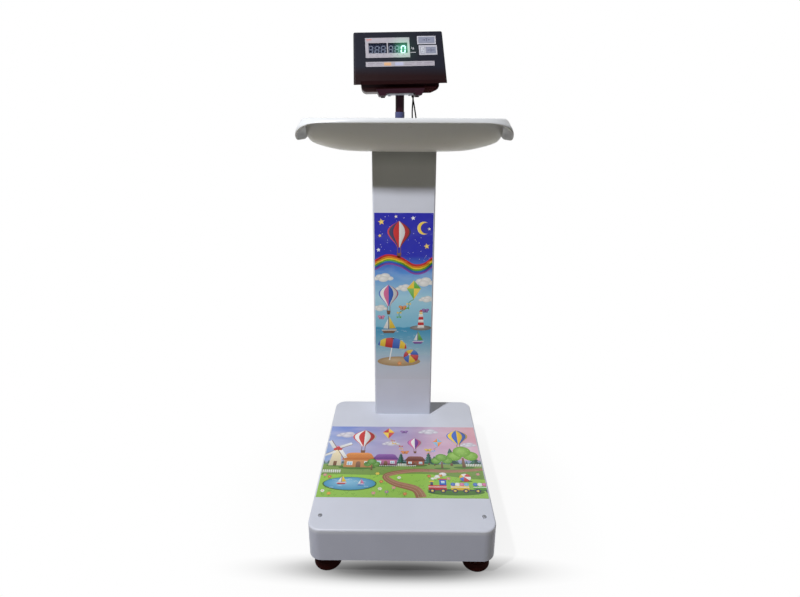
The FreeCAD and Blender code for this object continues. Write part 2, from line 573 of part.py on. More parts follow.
def cable_grommet():
    """Rubber bush in the column's back with two cable holes."""
    y0, y1 = COLUMN_BACK - COLUMN_SHEET, COLUMN_BACK
    x, z, neck, lip = GROMMET_X, GROMMET_Z, GROMMET_R - GROMMET_LIP, GROMMET_R + 1
    body = rod(neck, (x, y0, z), (x, y1, z)).fuse([
        rod(lip, (x, y1, z), (x, y1 + 3, z)), rod(lip, (x, y0 - 2.5, z), (x, y0, z))])
    return cut_all(body, [rod(CABLE_R, (x + dx, y0 - 5, z), (x + dx, y1 + 5, z))
                          for dx in (-CABLE_OFF, CABLE_OFF)])


def power_inlet():
    """Mains inlet: a flanged body with a shrouded recess and three pins."""
    y = COLUMN_BACK
    body = rounded_block(INLET_X - INLET_W / 2, INLET_X + INLET_W / 2, y - INLET_DEPTH, y,
                         INLET_Z - INLET_H / 2, INLET_Z + INLET_H / 2, 2.0, Y_AXIS)
    flange = rounded_block(INLET_X - 25, INLET_X + 25, y, y + INLET_FLANGE_T,
                           INLET_Z - 12, INLET_Z + 12, 5.0, Y_AXIS)
    recess = rounded_block(INLET_X - 12, INLET_X + 12, y - 16, y + INLET_FLANGE_T + 1,
                           INLET_Z - 8.2, INLET_Z + 8.2, 3.0, Y_AXIS)
    holes = [rod(M3, (x, y - 1, INLET_Z), (x, y + INLET_FLANGE_T + 1, INLET_Z)) for x in inlet_screw_xs()]
    pins = [box(INLET_X + dx - 1, INLET_X + dx + 1, y - 17, y - 2, INLET_Z + dz - 2, INLET_Z + dz + 2)
            for dx, dz in ((-7, -1), (0, 2.5), (7, -1))]
    return cut_all(body.fuse(flange), [recess] + holes).fuse(pins)


def inlet_screws():
    y = COLUMN_BACK + INLET_FLANGE_T
    return Part.makeCompound([
        rod(M3_HEAD_R, (x, y, INLET_Z), (x, y + 1.6, INLET_Z)).fuse(
            rod(M3, (x, y - 9, INLET_Z), (x, y, INLET_Z))) for x in inlet_screw_xs()])


# ---- head: frame and saddle ---------------------------------------------------------------
# The head is built upright and square to the front, with x and y counted from its post.
def set_head(shape):
    """Turns and leans a finished head part on its post and moves it to the post's place."""
    placed = shape.copy()
    placed.rotate(V(0, 0, PLATE_BOTTOM), Y_AXIS, HEAD_TILT)
    placed.rotate(V(0, 0, 0), Z_AXIS, HEAD_YAW)
    placed.translate(V(POST_X, POST_Y, 0))
    return placed


def post_tube():
    """Tube that turns in the socket; it stays upright, so it isn't leaned with the head."""
    top = PLATE_BOTTOM - COLLAR_H - 0.2
    return ring(POST_R, POST_R - POST_WALL, (POST_X, POST_Y, POST_BOTTOM), (POST_X, POST_Y, top))


def plate_screw_places():
    return [(x, y) for x in (-PLATE_SCREW_X, PLATE_SCREW_X) for y in (-PLATE_SCREW_Y, PLATE_SCREW_Y)]


def post_plate():
    plate = rounded_block(-PLATE_HALF_X, PLATE_HALF_X, -PLATE_HALF_Y, PLATE_HALF_Y,
                          PLATE_BOTTOM, PLATE_BOTTOM + PLATE_T, 4.0)
    collar = ring(POST_R + 1.5, POST_R - POST_WALL, (0, 0, PLATE_BOTTOM - COLLAR_H), (0, 0, PLATE_BOTTOM))
    holes = [rod(M4, (x, y, PLATE_BOTTOM - 1), (x, y, PLATE_BOTTOM + PLATE_T + 1))
             for x, y in plate_screw_places()]
    return cut_all(plate, holes).fuse(collar)


def plate_screws():
    return Part.makeCompound([
        rod(M4_HEAD_R, (x, y, PLATE_BOTTOM - 2.2), (x, y, PLATE_BOTTOM)).fuse(
            rod(M4, (x, y, PLATE_BOTTOM), (x, y, CASE_BOTTOM + 1))) for x, y in plate_screw_places()])


def mount_saddle():
    """Block that the indicator sits on; its two feet take the bolts and the plate lies between."""
    top, low = CASE_BOTTOM + SADDLE_RISE, SADDLE_BOTTOM
    outline = [V(-SADDLE_HALF_TOP, SADDLE_FRONT, top), V(-SADDLE_HALF_LOW, SADDLE_FRONT, low),
               V(SADDLE_HALF_LOW, SADDLE_FRONT, low), V(SADDLE_HALF_TOP, SADDLE_FRONT, top)]
    block = Part.Face(Part.makePolygon(outline + outline[:1])).extrude(V(0, SADDLE_BACK - SADDLE_FRONT, 0))
    above_plate = PLATE_BOTTOM + PLATE_T
    room = [box(-PLATE_HALF_X - 1.5, PLATE_HALF_X + 1.5, SADDLE_FRONT - 1, SADDLE_BACK + 1,
                SADDLE_BOTTOM - 1, above_plate)]
    room.append(lower_case_solid(0.0))
    for x in (-MOUNT_BOLT_X, MOUNT_BOLT_X):
        room.append(rod(M6, (x, 0, SADDLE_BOTTOM - 1), (x, 0, CASE_BOTTOM + 1)))
    room += [rod(M4, (x, y, above_plate - 1), (x, y, CASE_BOTTOM + 1)) for x, y in plate_screw_places()]
    return cut_all(block, room)


def mount_bolts():
    """Bolts from below through the saddle into the lower case, each with its nut inside."""
    return Part.makeCompound([
        hexagon(M6_FLATS, x, 0, SADDLE_BOTTOM - M6_HEAD_H, SADDLE_BOTTOM).fuse([
            rod(M6, (x, 0, SADDLE_BOTTOM - 1), (x, 0, CASE_FLOOR)),
            hexagon(M6_FLATS - 1, x, 0, CASE_FLOOR, CASE_FLOOR + 3)])
        for x in (-MOUNT_BOLT_X, MOUNT_BOLT_X)])


# ---- head: case ---------------------------------------------------------------------------
def on_panel(s, t, d):
    """Point in the head for panel coordinates: right, up the slope, out of the face."""
    return V(s, PANEL_Y + t * SIN_LEAN - d * COS_LEAN, PANEL_Z + t * COS_LEAN + d * SIN_LEAN)


def panel_part(shape):
    """Moves a shape drawn flat (x right, y up the slope, z outwards) onto the sloping panel."""
    placed = shape.copy()
    placed.rotate(V(0, 0, 0), X_AXIS, 90 - PANEL_LEAN)
    placed.translate(V(0, PANEL_Y, PANEL_Z))
    return placed


def panel_box(s0, s1, t0, t1, d0, d1):
    return panel_part(box(s0, s1, t0, t1, d0, d1))


def split_height(y):
    """Height of the joint between the cover and the lower case, which rises to the back."""
    return CASE_SPLIT + SPLIT_RISE * (y - NOSE_LOW_Y) / (CASE_REAR_LOW - NOSE_LOW_Y)


def over_split():
    """Everything above that joint."""
    reach = 200.0
    low, back = split_height(-reach), split_height(reach)
    side = [V(-reach, -reach, low), V(-reach, reach, back), V(-reach, reach, back + reach),
            V(-reach, -reach, back + reach)]
    return Part.Face(Part.makePolygon(side + side[:1])).extrude(V(2 * reach, 0, 0))


def nose_front():
    """Front of the cover below the panel, between its cheeks: it rolls under to the split."""
    return [Part.Arc(on_panel(0, 0, 0), V(0, NOSE_Y, NOSE_Z), V(0, NOSE_LOW_Y, CASE_SPLIT))]


def cheek_front():
    """Front of a cheek below the panel: the panel's plane runs straight on to the split."""
    return [Part.LineSegment(on_panel(0, 0, 0), on_panel(0, (CASE_SPLIT - PANEL_Z) / COS_LEAN, 0))]


def cover_slab(front, half, inset):
    """The cover's side view with that front below the panel, as a slab of that half width."""
    panel_top = on_panel(0, PANEL_LEN, 0)
    back_low, back_top = V(0, CASE_REAR_LOW, CASE_SPLIT), V(0, CASE_REAR_TOP, CASE_REAR_Z)
    edges = [Part.LineSegment(panel_top, front[0].StartPoint)] + front
    edges += [Part.LineSegment(front[-1].EndPoint, back_low), Part.LineSegment(back_low, back_top),
              Part.LineSegment(back_top, panel_top)]
    wire = Part.Wire([edge.toShape() for edge in edges])
    side = Part.Face(wire.makeOffset2D(-inset, 2) if inset else wire)
    side.translate(V(-half, 0, 0))
    slab = side.extrude(V(2 * half, 0, 0))
    floor = over_split()
    floor.translate(V(0, 0, inset))
    return slab.common(floor)


def cover_solid(inset):
    """Upper part of the case: a rounded nose between two flat cheeks, narrower towards the top."""
    low, top = COVER_HALF_LOW - inset, COVER_HALF_TOP - inset
    between = LOWER_HALF + inset
    chin = cover_slab(cheek_front(), between, 0).cut(cover_slab(nose_front(), between, inset))
    block = cover_slab(cheek_front(), low, inset).cut(chin)
    reach = 200.0
    front = [V(-low, -reach, CASE_SPLIT), V(low, -reach, CASE_SPLIT), V(top, -reach, CASE_TOP),
             V(-top, -reach, CASE_TOP)]
    taper = Part.Face(Part.makePolygon(front + front[:1])).extrude(V(0, 2 * reach, 0))
    return block.common(taper)


def lower_case_solid(inset):
    block = rounded_block(-LOWER_HALF + inset, LOWER_HALF - inset, LOWER_FRONT + inset, LOWER_BACK - inset,
                          CASE_BOTTOM + inset, CASE_SPLIT + SPLIT_RISE, LOWER_CORNER_R - inset)
    floor = CASE_BOTTOM + inset
    rounded = round_edges(block, LOWER_EDGE_R - inset, lambda edge: edge.BoundBox.ZMax < floor + 0.01)
    return rounded.cut(over_split())


def key_wells(d0, d1):
    """Room for each key, with play all round, between two heights over the panel."""
    return [box(s0 - KEY_PLAY, s1 + KEY_PLAY, t0 - KEY_PLAY, t1 + KEY_PLAY, d0, d1)
            for s0, s1, t0, t1 in KEYS.values()]


def rear_part(shape):
    """Moves a shape drawn flat (x to the left seen from behind, y up, z outwards) onto the back."""
    placed = shape.copy()
    placed.rotate(V(0, 0, 0), X_AXIS, 90)
    placed.rotate(V(0, 0, 0), Z_AXIS, 180)
    placed.rotate(V(0, 0, 0), X_AXIS, REAR_LEAN)
    placed.translate(V(0, CASE_REAR_LOW, CASE_SPLIT))
    return placed


def rear_box(x0, x1, y0, y1, z0, z1):
    return rear_part(box(x0, x1, y0, y1, z0, z1))


def indicator_cover():
    shell = cover_solid(0.0)
    side = [edge for edge in shell.Edges if abs(edge.BoundBox.Center.x) > COVER_HALF_TOP - 1
            and edge.BoundBox.ZMax > CASE_SPLIT + SPLIT_RISE + 1]
    middle_z = (CASE_SPLIT + CASE_TOP) / 2
    top = [edge for edge in shell.Edges if runs_along(edge, X_AXIS) and edge.BoundBox.ZMin > middle_z]
    shell = shell.makeFillet(CASE_EDGE_R, side + top)
    hollow = cover_solid(CASE_WALL)
    well = box(-LOWER_HALF + CASE_WALL, LOWER_HALF - CASE_WALL, LOWER_FRONT + CASE_WALL,
               LOWER_BACK - CASE_WALL, CASE_SPLIT - 1, CASE_SPLIT + SPLIT_RISE + CASE_WALL)
    depth = 2 * CASE_WALL
    openings = [panel_box(*WINDOW, -depth, 1)] + [panel_part(well) for well in key_wells(-depth, 1)]
    openings.append(rear_box(-ROCKER_X - SWITCH_HALF_W, -ROCKER_X + SWITCH_HALF_W,
                             ROCKER_UP - SWITCH_HALF_H, ROCKER_UP + SWITCH_HALF_H, -depth, 1))
    bosses = [rod(CASE_BOSS_R, (x, y, CASE_SPLIT), (x, y, CASE_SPLIT + CASE_BOSS_H)).common(cover_solid(0.0))
              for x, y in case_screw_places()]
    shell = cut_all(shell, [hollow, well] + openings).fuse(bosses)
    taps = [rod(M3, (x, y, CASE_SPLIT - 1), (x, y, split_height(y) + CASE_TAP_DEPTH))
            for x, y in case_screw_places()]
    return cut_all(shell, taps)


def case_screw_places():
    return [(x, y) for x in (-CASE_SCREW_X, CASE_SCREW_X) for y in CASE_SCREW_YS]


def indicator_lower_case():
    shell = lower_case_solid(0.0).cut(lower_case_solid(CASE_WALL))
    posts = [rod(CASE_BOSS_R, (x, y, CASE_BOTTOM + 2), (x, y, split_height(y) + 1))
             for x, y in case_screw_places()]
    shell = shell.fuse([post.common(lower_case_solid(0.0)) for post in posts])
    below = CASE_BOTTOM - 1
    holes = [rod(M3, (x, y, below), (x, y, split_height(y) + 1)) for x, y in case_screw_places()]
    holes += [rod(M3_HEAD_R + 0.4, (x, y, below), (x, y, split_height(y) - CASE_SCREW_GRIP))
              for x, y in case_screw_places()]
    holes += [rod(M6, (x, 0, below), (x, 0, CASE_SPLIT)) for x in (-MOUNT_BOLT_X, MOUNT_BOLT_X)]
    holes += [rod(M4, (x, y, below), (x, y, CASE_BOTTOM + 1)) for x, y in plate_screw_places()]
    holes += [rod(GLAND_NECK_R, (GLAND_X, y, below), (GLAND_X, y, CASE_BOTTOM + 4)) for y in GLAND_YS]
    return cut_all(shell, holes)


def case_screws():
    screws = []
    for x, y in case_screw_places():
        joint = split_height(y)
        seat = joint - CASE_SCREW_GRIP
        head = rod(M3_HEAD_R, (x, y, seat - 2), (x, y, seat))
        screws.append(head.fuse(rod(M3, (x, y, seat), (x, y, joint + CASE_TAP_DEPTH - 1))))
    return Part.makeCompound(screws)


def cable_glands():
    """Strain reliefs under the lower case, tapering down onto the cables."""
    glands = []
    for y in GLAND_YS:
        neck = rod(GLAND_NECK_R, (GLAND_X, y, CASE_BOTTOM), (GLAND_X, y, CASE_FLOOR + 2))
        cone = Part.makeCone(3.2, 5.6, CASE_BOTTOM - GLAND_END, V(GLAND_X, y, GLAND_END))
        bore = rod(CABLE_R, (GLAND_X, y, GLAND_END - 1), (GLAND_X, y, CASE_FLOOR + 3))
        glands.append(neck.fuse(cone).cut(bore))
    return Part.makeCompound(glands)


# ---- head: display and keys ---------------------------------------------------------------
def display_bezel():
    """Raised frame round the window with a bar between the two digit groups."""
    s0, s1, t0, t1 = BEZEL
    w0, w1, u0, u1 = WINDOW
    frame = box(s0, s1, t0, t1, 0, BEZEL_T).cut(box(w0, w1, u0, u1, -1, 2))
    bar = box(DIVIDER_S - DIVIDER_W / 2, DIVIDER_S + DIVIDER_W / 2, u0, u1, WINDOW_PROUD, BEZEL_T)
    return panel_part(frame.fuse(bar))


def display_window():
    return panel_box(*WINDOW, -CASE_WALL, WINDOW_PROUD)


def digit_modules():
    """Two displays of three digits each, mounted behind the window."""
    middle = (WINDOW[2] + WINDOW[3]) / 2
    low, high = middle - DIGITS_HALF_H, middle + DIGITS_HALF_H
    return Part.makeCompound([
        panel_box(s - DIGITS_HALF_W, s + DIGITS_HALF_W, low, high, BOARD_FACE, -CASE_WALL - 0.5)
        for s in DIGITS_S])


def main_board():
    """Board behind the panel with three chips on its back: each is left, right, low, high."""
    back = BOARD_FACE - BOARD_T
    board = box(*BOARD, back, BOARD_FACE)
    places = ((-70, -50, 34, 44), (20, 32, 50, 70), (-20, 0, 84, 92))
    chips = [box(*place, back - 2, back) for place in places]
    return panel_part(board.fuse(chips))


def key_switches():
    """Tact switches on the board, one behind each key."""
    half, face, button_r = 3.0, -6.0, 1.6
    parts = []
    for s0, s1, t0, t1 in KEYS.values():
        s, t = (s0 + s1) / 2, (t0 + t1) / 2
        body = box(s - half, s + half, t - half, t + half, BOARD_FACE, face)
        parts.append(body.fuse(rod(button_r, (s, t, face), (s, t, -KEY_STEM - 0.6))))
    return panel_part(Part.makeCompound(parts))


def key_frames():
    plates = [box(*place, 0, KEY_FRAME_T) for place in KEY_FRAMES]
    return panel_part(Part.makeCompound([cut_all(plate, key_wells(-1, 2)) for plate in plates]))


def key_cap(name):
    """Flat key cap in its opening, with a stem towards its switch."""
    s0, s1, t0, t1 = KEYS[name]
    s, t = (s0 + s1) / 2, (t0 + t1) / 2
    cap = rounded_block(s0, s1, t0, t1, -CASE_WALL + 0.3, KEY_PROUD, 1.2)
    stem = rod(2.0, (s, t, -KEY_STEM), (s, t, 0))
    return panel_part(cap.fuse(stem))


def label_strip():
    return panel_box(*STRIP, 0, STRIP_T)


# ---- head: power --------------------------------------------------------------------------
def switch_frame():
    """Frame of the power rocker, clipped into the sloping back."""
    def around(half_w, half_h, z0, z1):
        return box(-ROCKER_X - half_w, -ROCKER_X + half_w, ROCKER_UP - half_h, ROCKER_UP + half_h, z0, z1)

    body = around(SWITCH_HALF_W, SWITCH_HALF_H, -14, 0)
    flange = around(SWITCH_HALF_W + 2, SWITCH_HALF_H + 2, 0, 1.6)
    room = around(ROCKER_HALF_W + 0.4, ROCKER_HALF_H + 0.7, -7.5, 2)
    return rear_part(body.fuse(flange).cut(room))


def power_rocker():
    """Rocker with a shallow valley across its face, tipped to its on side."""
    h, w = ROCKER_HALF_H, ROCKER_HALF_W
    outline = [V(0, -h, 2.6), V(0, 0, 1.2), V(0, h, 2.6), V(0, h * 0.8, -3.4), V(0, 0, -4.6),
               V(0, -h * 0.8, -3.4)]
    body = Part.Face(Part.makePolygon(outline + outline[:1])).extrude(V(2 * w, 0, 0))
    body.translate(V(-w, 0, 0))
    body.rotate(V(0, 0, ROCKER_PIVOT), X_AXIS, ROCKER_THROW)
    body.translate(V(-ROCKER_X, ROCKER_UP, 0))
    return rear_part(body)


def battery_pack():
    width, depth, height = 70.0, 38.0, 74.0
    x0, y0 = -88.0, 20.0
    return rounded_block(x0, x0 + width, y0, y0 + depth, CASE_FLOOR, CASE_FLOOR + height, 3.0)


def transformer():
    """Laminated core with a window and the winding through it."""
    x0, x1, y0, y1, z0, z1 = 48.0, 88.0, 16.0, 58.0, CASE_FLOOR, CASE_FLOOR + 38
    limb = 7.0
    core = box(x0, x1, y0, y1, z0, z1)
    core = core.cut(box(x0 + limb, x1 - limb, y0 - 1, y1 + 1, z0 + limb, z1 - limb))
    return core.fuse(rounded_block(x0 + limb, x1 - limb, y0 - 4, y1 + 4, z0 + limb, z1 - limb, 4.0, Y_AXIS))


# ---- captive cables -----------------------------------------------------------------------
# Both leads leave the indicator through their glands, hang down behind the tray and enter the
# column through the grommet. One runs on to the load cell, the other to the mains inlet.
def gland_mouth(index):
    return set_head(Part.Vertex(V(GLAND_X, GLAND_YS[index], GLAND_END - 0.4))).Point


def load_cell_cable_route():
    x = GROMMET_X - CABLE_OFF
    start = gland_mouth(0)
    cell_z = RAIL_Z1 + SPACER_T + CELL_H / 2
    return [start, V(22.0, 675, 968), V(22.5, 668, 936), V(24.5, 652, 900), V(24.5, 620, 862),
            V(x, 572, 834), V(x, 530, GROMMET_Z), V(x, 456, GROMMET_Z), V(x - 2, 460, 742),
            V(2.0, 464, 440), V(*CABLE_HOLE, 152), V(*CABLE_HOLE, 84),
            V(7.0, 430, cell_z + 2), V(4.0, 380, cell_z), V(0, CELL_Y0 + CELL_LEN + 0.4, cell_z)]


def power_cable_route():
    x = GROMMET_X + CABLE_OFF
    start = gland_mouth(1)
    return [start, V(29.5, 688, 966), V(34.5, 680, 932), V(36.0, 660, 893), V(34.0, 624, 856),
            V(x, 573, 831), V(x, 531, GROMMET_Z), V(x, 455, GROMMET_Z), V(x, 447, 740),
            V(x - 1, 448, 460), V(INLET_X + 1, 446, INLET_Z + 60), V(INLET_X, 438, INLET_Z + 14),
            V(INLET_X, 450, INLET_Z), V(INLET_X, COLUMN_BACK - INLET_DEPTH - 0.3, INLET_Z)]


def cable(name, route):
    """Tube along straight runs joined by tangent arcs, as wide as the shorter run allows."""
    edges, radii = [], []
    here, length = route[0], 0.0
    for before, corner, after in zip(route, route[1:], route[2:]):
        run_in, run_out = corner - before, after - corner
        shorter = min(run_in.Length, run_out.Length)
        turn = run_in.getAngle(run_out)
        reach = 0.45 * shorter
        radius = reach / math.tan(turn / 2)
        radii.append(round(radius, 1))
        into, out = V(run_in).normalize(), V(run_out).normalize()
        arc_in, arc_out = corner - into * reach, corner + out * reach
        inward = (out - into).normalize()
        middle = corner + inward * (radius / math.cos(turn / 2) - radius)
        edges.append(Part.LineSegment(here, arc_in).toShape())
        edges.append(Part.Arc(arc_in, middle, arc_out).toShape())
        length += (arc_in - here).Length + radius * turn
        here = arc_out
    edges.append(Part.LineSegment(here, route[-1]).toShape())
    length += (route[-1] - here).Length
    solid = swept(Part.Wire(edges), CABLE_R, route[0], route[1] - route[0])
    expected = math.pi * CABLE_R ** 2 * length
    print(f"{name}: length {length:.0f}, volume {solid.Volume:.0f} of {expected:.0f}, radii {radii}")
    return solid


# ---- assembly -----------------------------------------------------------------------------
def foot_nodes():
    nodes = {}
    for y, end in zip(FOOT_YS, ("front", "rear")):
        for x, side in ((-FOOT_X, "left"), (FOOT_X, "right")):
            nodes[f"foot_pad_{end}_{side}"] = foot_pad(x, y)
            nodes[f"foot_stud_{end}_{side}"] = foot_stud(x, y)
    return nodes


def standing_nodes():
    """Nodes built in their own place: base, platform, column, tray and arm."""
    upper_spacer_z = UPPER_Z0 - SPACER_T
    return {
        "base_side_rails": base_side_rails(), "base_cross_rails": base_cross_rails(),
        "foot_nuts": foot_nuts(), "overload_stops": overload_stops(),
        "load_cell": load_cell(), "cell_spacer_lower": cell_spacer(CELL_BOLT_LOW_Y, RAIL_Z1),
        "cell_spacer_upper": cell_spacer(CELL_BOLT_HIGH_Y, upper_spacer_z),
        "cell_bolts_lower": cell_bolts_lower(), "cell_bolts_upper": cell_bolts_upper(),
        "upper_frame": upper_frame(),
        "platform_cover": platform_cover(), "platform_film": platform_film(), "cover_screws": cover_screws(),
        "column": column(), "column_film": column_film(), "column_end_plates": column_end_plates(),
        "column_bolts": column_bolts(),
        "tray": tray(), "tray_screws": tray_screws(),
        "arm_tube": arm_tube(), "arm_flange": arm_flange(), "arm_screws": arm_screws(),
        "clamp_knob": clamp_knob(), "cable_grommet": cable_grommet(),
        "power_inlet": power_inlet(), "inlet_screws": inlet_screws(), "post_tube": post_tube(),
        "load_cell_cable": cable("load_cell_cable", load_cell_cable_route()),
        "power_cable": cable("power_cable", power_cable_route()),
    }


def head_nodes():
    """Nodes of the indicator head, built upright and then set on the post."""
    upright = {
        "post_plate": post_plate(), "plate_screws": plate_screws(), "mount_saddle": mount_saddle(),
        "mount_bolts": mount_bolts(), "indicator_cover": indicator_cover(),
        "indicator_lower_case": indicator_lower_case(), "case_screws": case_screws(),
        "cable_glands": cable_glands(), "display_bezel": display_bezel(), "display_window": display_window(),
        "digit_modules": digit_modules(), "main_board": main_board(), "key_switches": key_switches(),
        "key_frames": key_frames(), "label_strip": label_strip(), "battery_pack": battery_pack(),
        "transformer": transformer(), "switch_frame": switch_frame(), "power_rocker": power_rocker(),
    }
    upright.update({name: key_cap(name) for name in KEYS})
    return {name: set_head(shape) for name, shape in upright.items()}


def main():
    os.makedirs("parts", exist_ok=True)
    nodes = {**foot_nodes(), **standing_nodes(), **head_nodes()}
    whole = FreeCAD.BoundBox()
    for name, shape in nodes.items():
        shape.translate(V(0, -ORIGIN_Y, 0))
        shape.exportStep(f"parts/{name}.step")
        whole.add(shape.BoundBox)
        if not shape.isValid() or shape.Volume <= 0:
            print("check", name, shape.isValid(), round(shape.Volume))
    print(len(nodes), "nodes, box", whole)


if __name__ == "__main__":
    main()
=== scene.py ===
import bpy
import json
import random
from math import cos, degrees, hypot, pi, radians, sin
from mathutils import Matrix, Vector
from mathutils.geometry import interpolate_bezier


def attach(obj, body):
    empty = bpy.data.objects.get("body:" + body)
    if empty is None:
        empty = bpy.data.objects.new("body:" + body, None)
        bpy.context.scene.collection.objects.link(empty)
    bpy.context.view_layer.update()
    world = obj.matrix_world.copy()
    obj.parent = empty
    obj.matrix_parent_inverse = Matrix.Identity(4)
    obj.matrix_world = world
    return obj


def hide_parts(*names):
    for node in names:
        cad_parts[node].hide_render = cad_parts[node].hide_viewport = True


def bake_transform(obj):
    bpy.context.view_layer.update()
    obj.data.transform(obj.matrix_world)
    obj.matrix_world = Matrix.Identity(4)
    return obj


# Looks of the digital baby weighing scale. Shapes are given in millimetres and scaled by MM;
# +Z is up, -Y is the front and z = 0 is the floor.
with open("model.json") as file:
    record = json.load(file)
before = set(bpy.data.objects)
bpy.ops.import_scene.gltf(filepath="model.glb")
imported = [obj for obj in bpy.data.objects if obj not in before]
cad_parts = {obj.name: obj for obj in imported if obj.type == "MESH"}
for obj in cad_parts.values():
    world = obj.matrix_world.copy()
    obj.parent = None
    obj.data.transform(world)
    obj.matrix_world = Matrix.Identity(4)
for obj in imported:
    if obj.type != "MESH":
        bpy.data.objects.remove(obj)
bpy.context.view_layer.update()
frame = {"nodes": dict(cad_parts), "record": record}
MM = 0.001

# ---- camera: place and lens of the reference view, whose image is 800 x 597 pixels ----
IMAGE_W = 800
SENSOR = 36.0
FOCAL_PX = 492.59
MIDDLE_BELOW_AXIS_PX = 19.6
CAMERA_AT = Vector((0.0014, -1.1828, 0.9245))
CAMERA_RIGHT = Vector((0.99995, 0.00949, 0.00275))
CAMERA_UP = Vector((-0.00547, 0.30074, 0.95369))

# ---- places repeated from the construction ----
POST_AT = Vector((-13.0, 267.5, 0.0))
HEAD_YAW, HEAD_TILT, PLATE_Z = 4.3, -1.6, 999.5
PANEL_LEAN, PANEL_Y, PANEL_Z = 26.7, -30.0, 1062.0
HEAD = (Matrix.Translation(POST_AT) @ Matrix.Rotation(radians(HEAD_YAW), 4, "Z")
        @ Matrix.Translation((0, 0, PLATE_Z)) @ Matrix.Rotation(radians(HEAD_TILT), 4, "Y")
        @ Matrix.Translation((0, 0, -PLATE_Z)))
PANEL = (HEAD @ Matrix.Translation((0, PANEL_Y, PANEL_Z))
         @ Matrix.Rotation(radians(90 - PANEL_LEAN), 4, "X"))

BEZEL_FACE, STRIP_FACE, KEY_FACE = 0.8, 0.4, 0.9    # heights over the panel
DIGIT_FACE, DIGIT_MIDDLE = -3.0, 60.6    # height of the digits' face, and their middle up the slope
DIGIT_GROUPS, DIGIT_PITCH = (-58.6, -4.8), 16.8
DIGIT_W, DIGIT_H, DIGIT_STROKE, DIGIT_SLANT = 13.4, 23.4, 3.2, 0.09
LIT_DIGIT = DIGIT_GROUPS[1] + DIGIT_PITCH

# In metres: just behind the column's front face, and the tray's middle and half size.
COLUMN_FRONT = 0.0685
TRAY_OUTLINE = (0.0, 0.1005, 0.26, 0.143)


def srgb(*rgb):
    """Colour given as 0 to 255 display values, as linear RGBA."""
    linear = [v / 255 / 12.92 if v <= 10 else ((v / 255 + 0.055) / 1.055) ** 2.4 for v in rgb]
    return (*linear, 1.0)


def grey(level):
    return (level, level, level, 1.0)


def inks_at(*stops):
    """Stops of a colour ramp, each a position and three display values."""
    return [(position, srgb(*rgb)) for position, *rgb in stops]


def greys_at(*stops):
    return [(position, grey(level)) for position, level in stops]


def over_panel(height):
    """Frame on the indicator's panel: right, up the slope and out of its face."""
    return PANEL @ Matrix.Translation((0, 0, height))


def add_mesh(name, corners, faces):
    mesh = bpy.data.meshes.new(name)
    mesh.from_pydata(corners, [], faces)
    return mesh


def add_object(name, data):
    added = bpy.data.objects.new(name, data)
    bpy.context.scene.collection.objects.link(added)
    return added


def mesh_of(data):
    carrier = bpy.data.objects.new(data.name, data)
    mesh = bpy.data.meshes.new_from_object(carrier)
    bpy.data.objects.remove(carrier)
    return mesh


def add_piece(name, mesh, finish, body):
    mesh.materials.append(finish)
    piece = add_object(name, mesh)
    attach(piece, body)


# ---- materials ----
UNTINTED = grey(1.0)
DIGIT_GLOW = srgb(124, 255, 182)
INK = "ink"
NUMBER_RESULTS = ("LENGTH", "DISTANCE", "DOT_PRODUCT")


class Nodes:
    """The shader nodes of one tree. A source is a plain value or another node's output."""

    def __init__(self, tree):
        self.tree = tree

    def connect(self, source, target):
        if isinstance(source, bpy.types.NodeSocket):
            self.tree.links.new(source, target)
        else:
            target.default_value = source

    def node(self, kind, output, sources, **settings):
        """Adds a node whose inputs take the sources by name or number, and gives one output."""
        node = self.tree.nodes.new("ShaderNode" + kind)
        for key, value in settings.items():
            setattr(node, key, value)
        for key, source in sources.items():
            self.connect(source, node.inputs[key])
        return node.outputs[output]

    def number(self, operation, first, second, clamp=False):
        return self.node("Math", "Value", {0: first, 1: second}, operation=operation, use_clamp=clamp)

    def span(self, value, low, high, to_low=0.0, to_high=1.0):
        """Takes the range from low to high to the one from to_low to to_high."""
        return self.node("MapRange", "Result", {
            "Value": value, "From Min": low, "From Max": high, "To Min": to_low, "To Max": to_high})

    def ramp(self, value, stops):
        colour = self.node("ValToRGB", "Color", {"Fac": value})
        points = colour.node.color_ramp.elements
        while len(points) < len(stops):
            points.new(0.5)
        for point, (position, stop) in zip(points, stops):
            point.position, point.color = position, stop
        return colour

    def mixed(self, share, first, second, blend="MIX"):
        return self.node("Mix", 2, {0: share, 6: first, 7: second}, data_type="RGBA", blend_type=blend)

    def times(self, colour, *others):
        for other in others:
            colour = self.mixed(1.0, colour, other, "MULTIPLY")
        return colour

    def seen_directly(self):
        """1 for what the camera, a mirror or glass sees directly, else 0."""
        seen = self.node("LightPath", "Is Camera Ray", {})
        for ray in ("Is Glossy Ray", "Is Transmission Ray"):
            seen = self.number("ADD", seen, self.node("LightPath", ray, {}), clamp=True)
        return seen


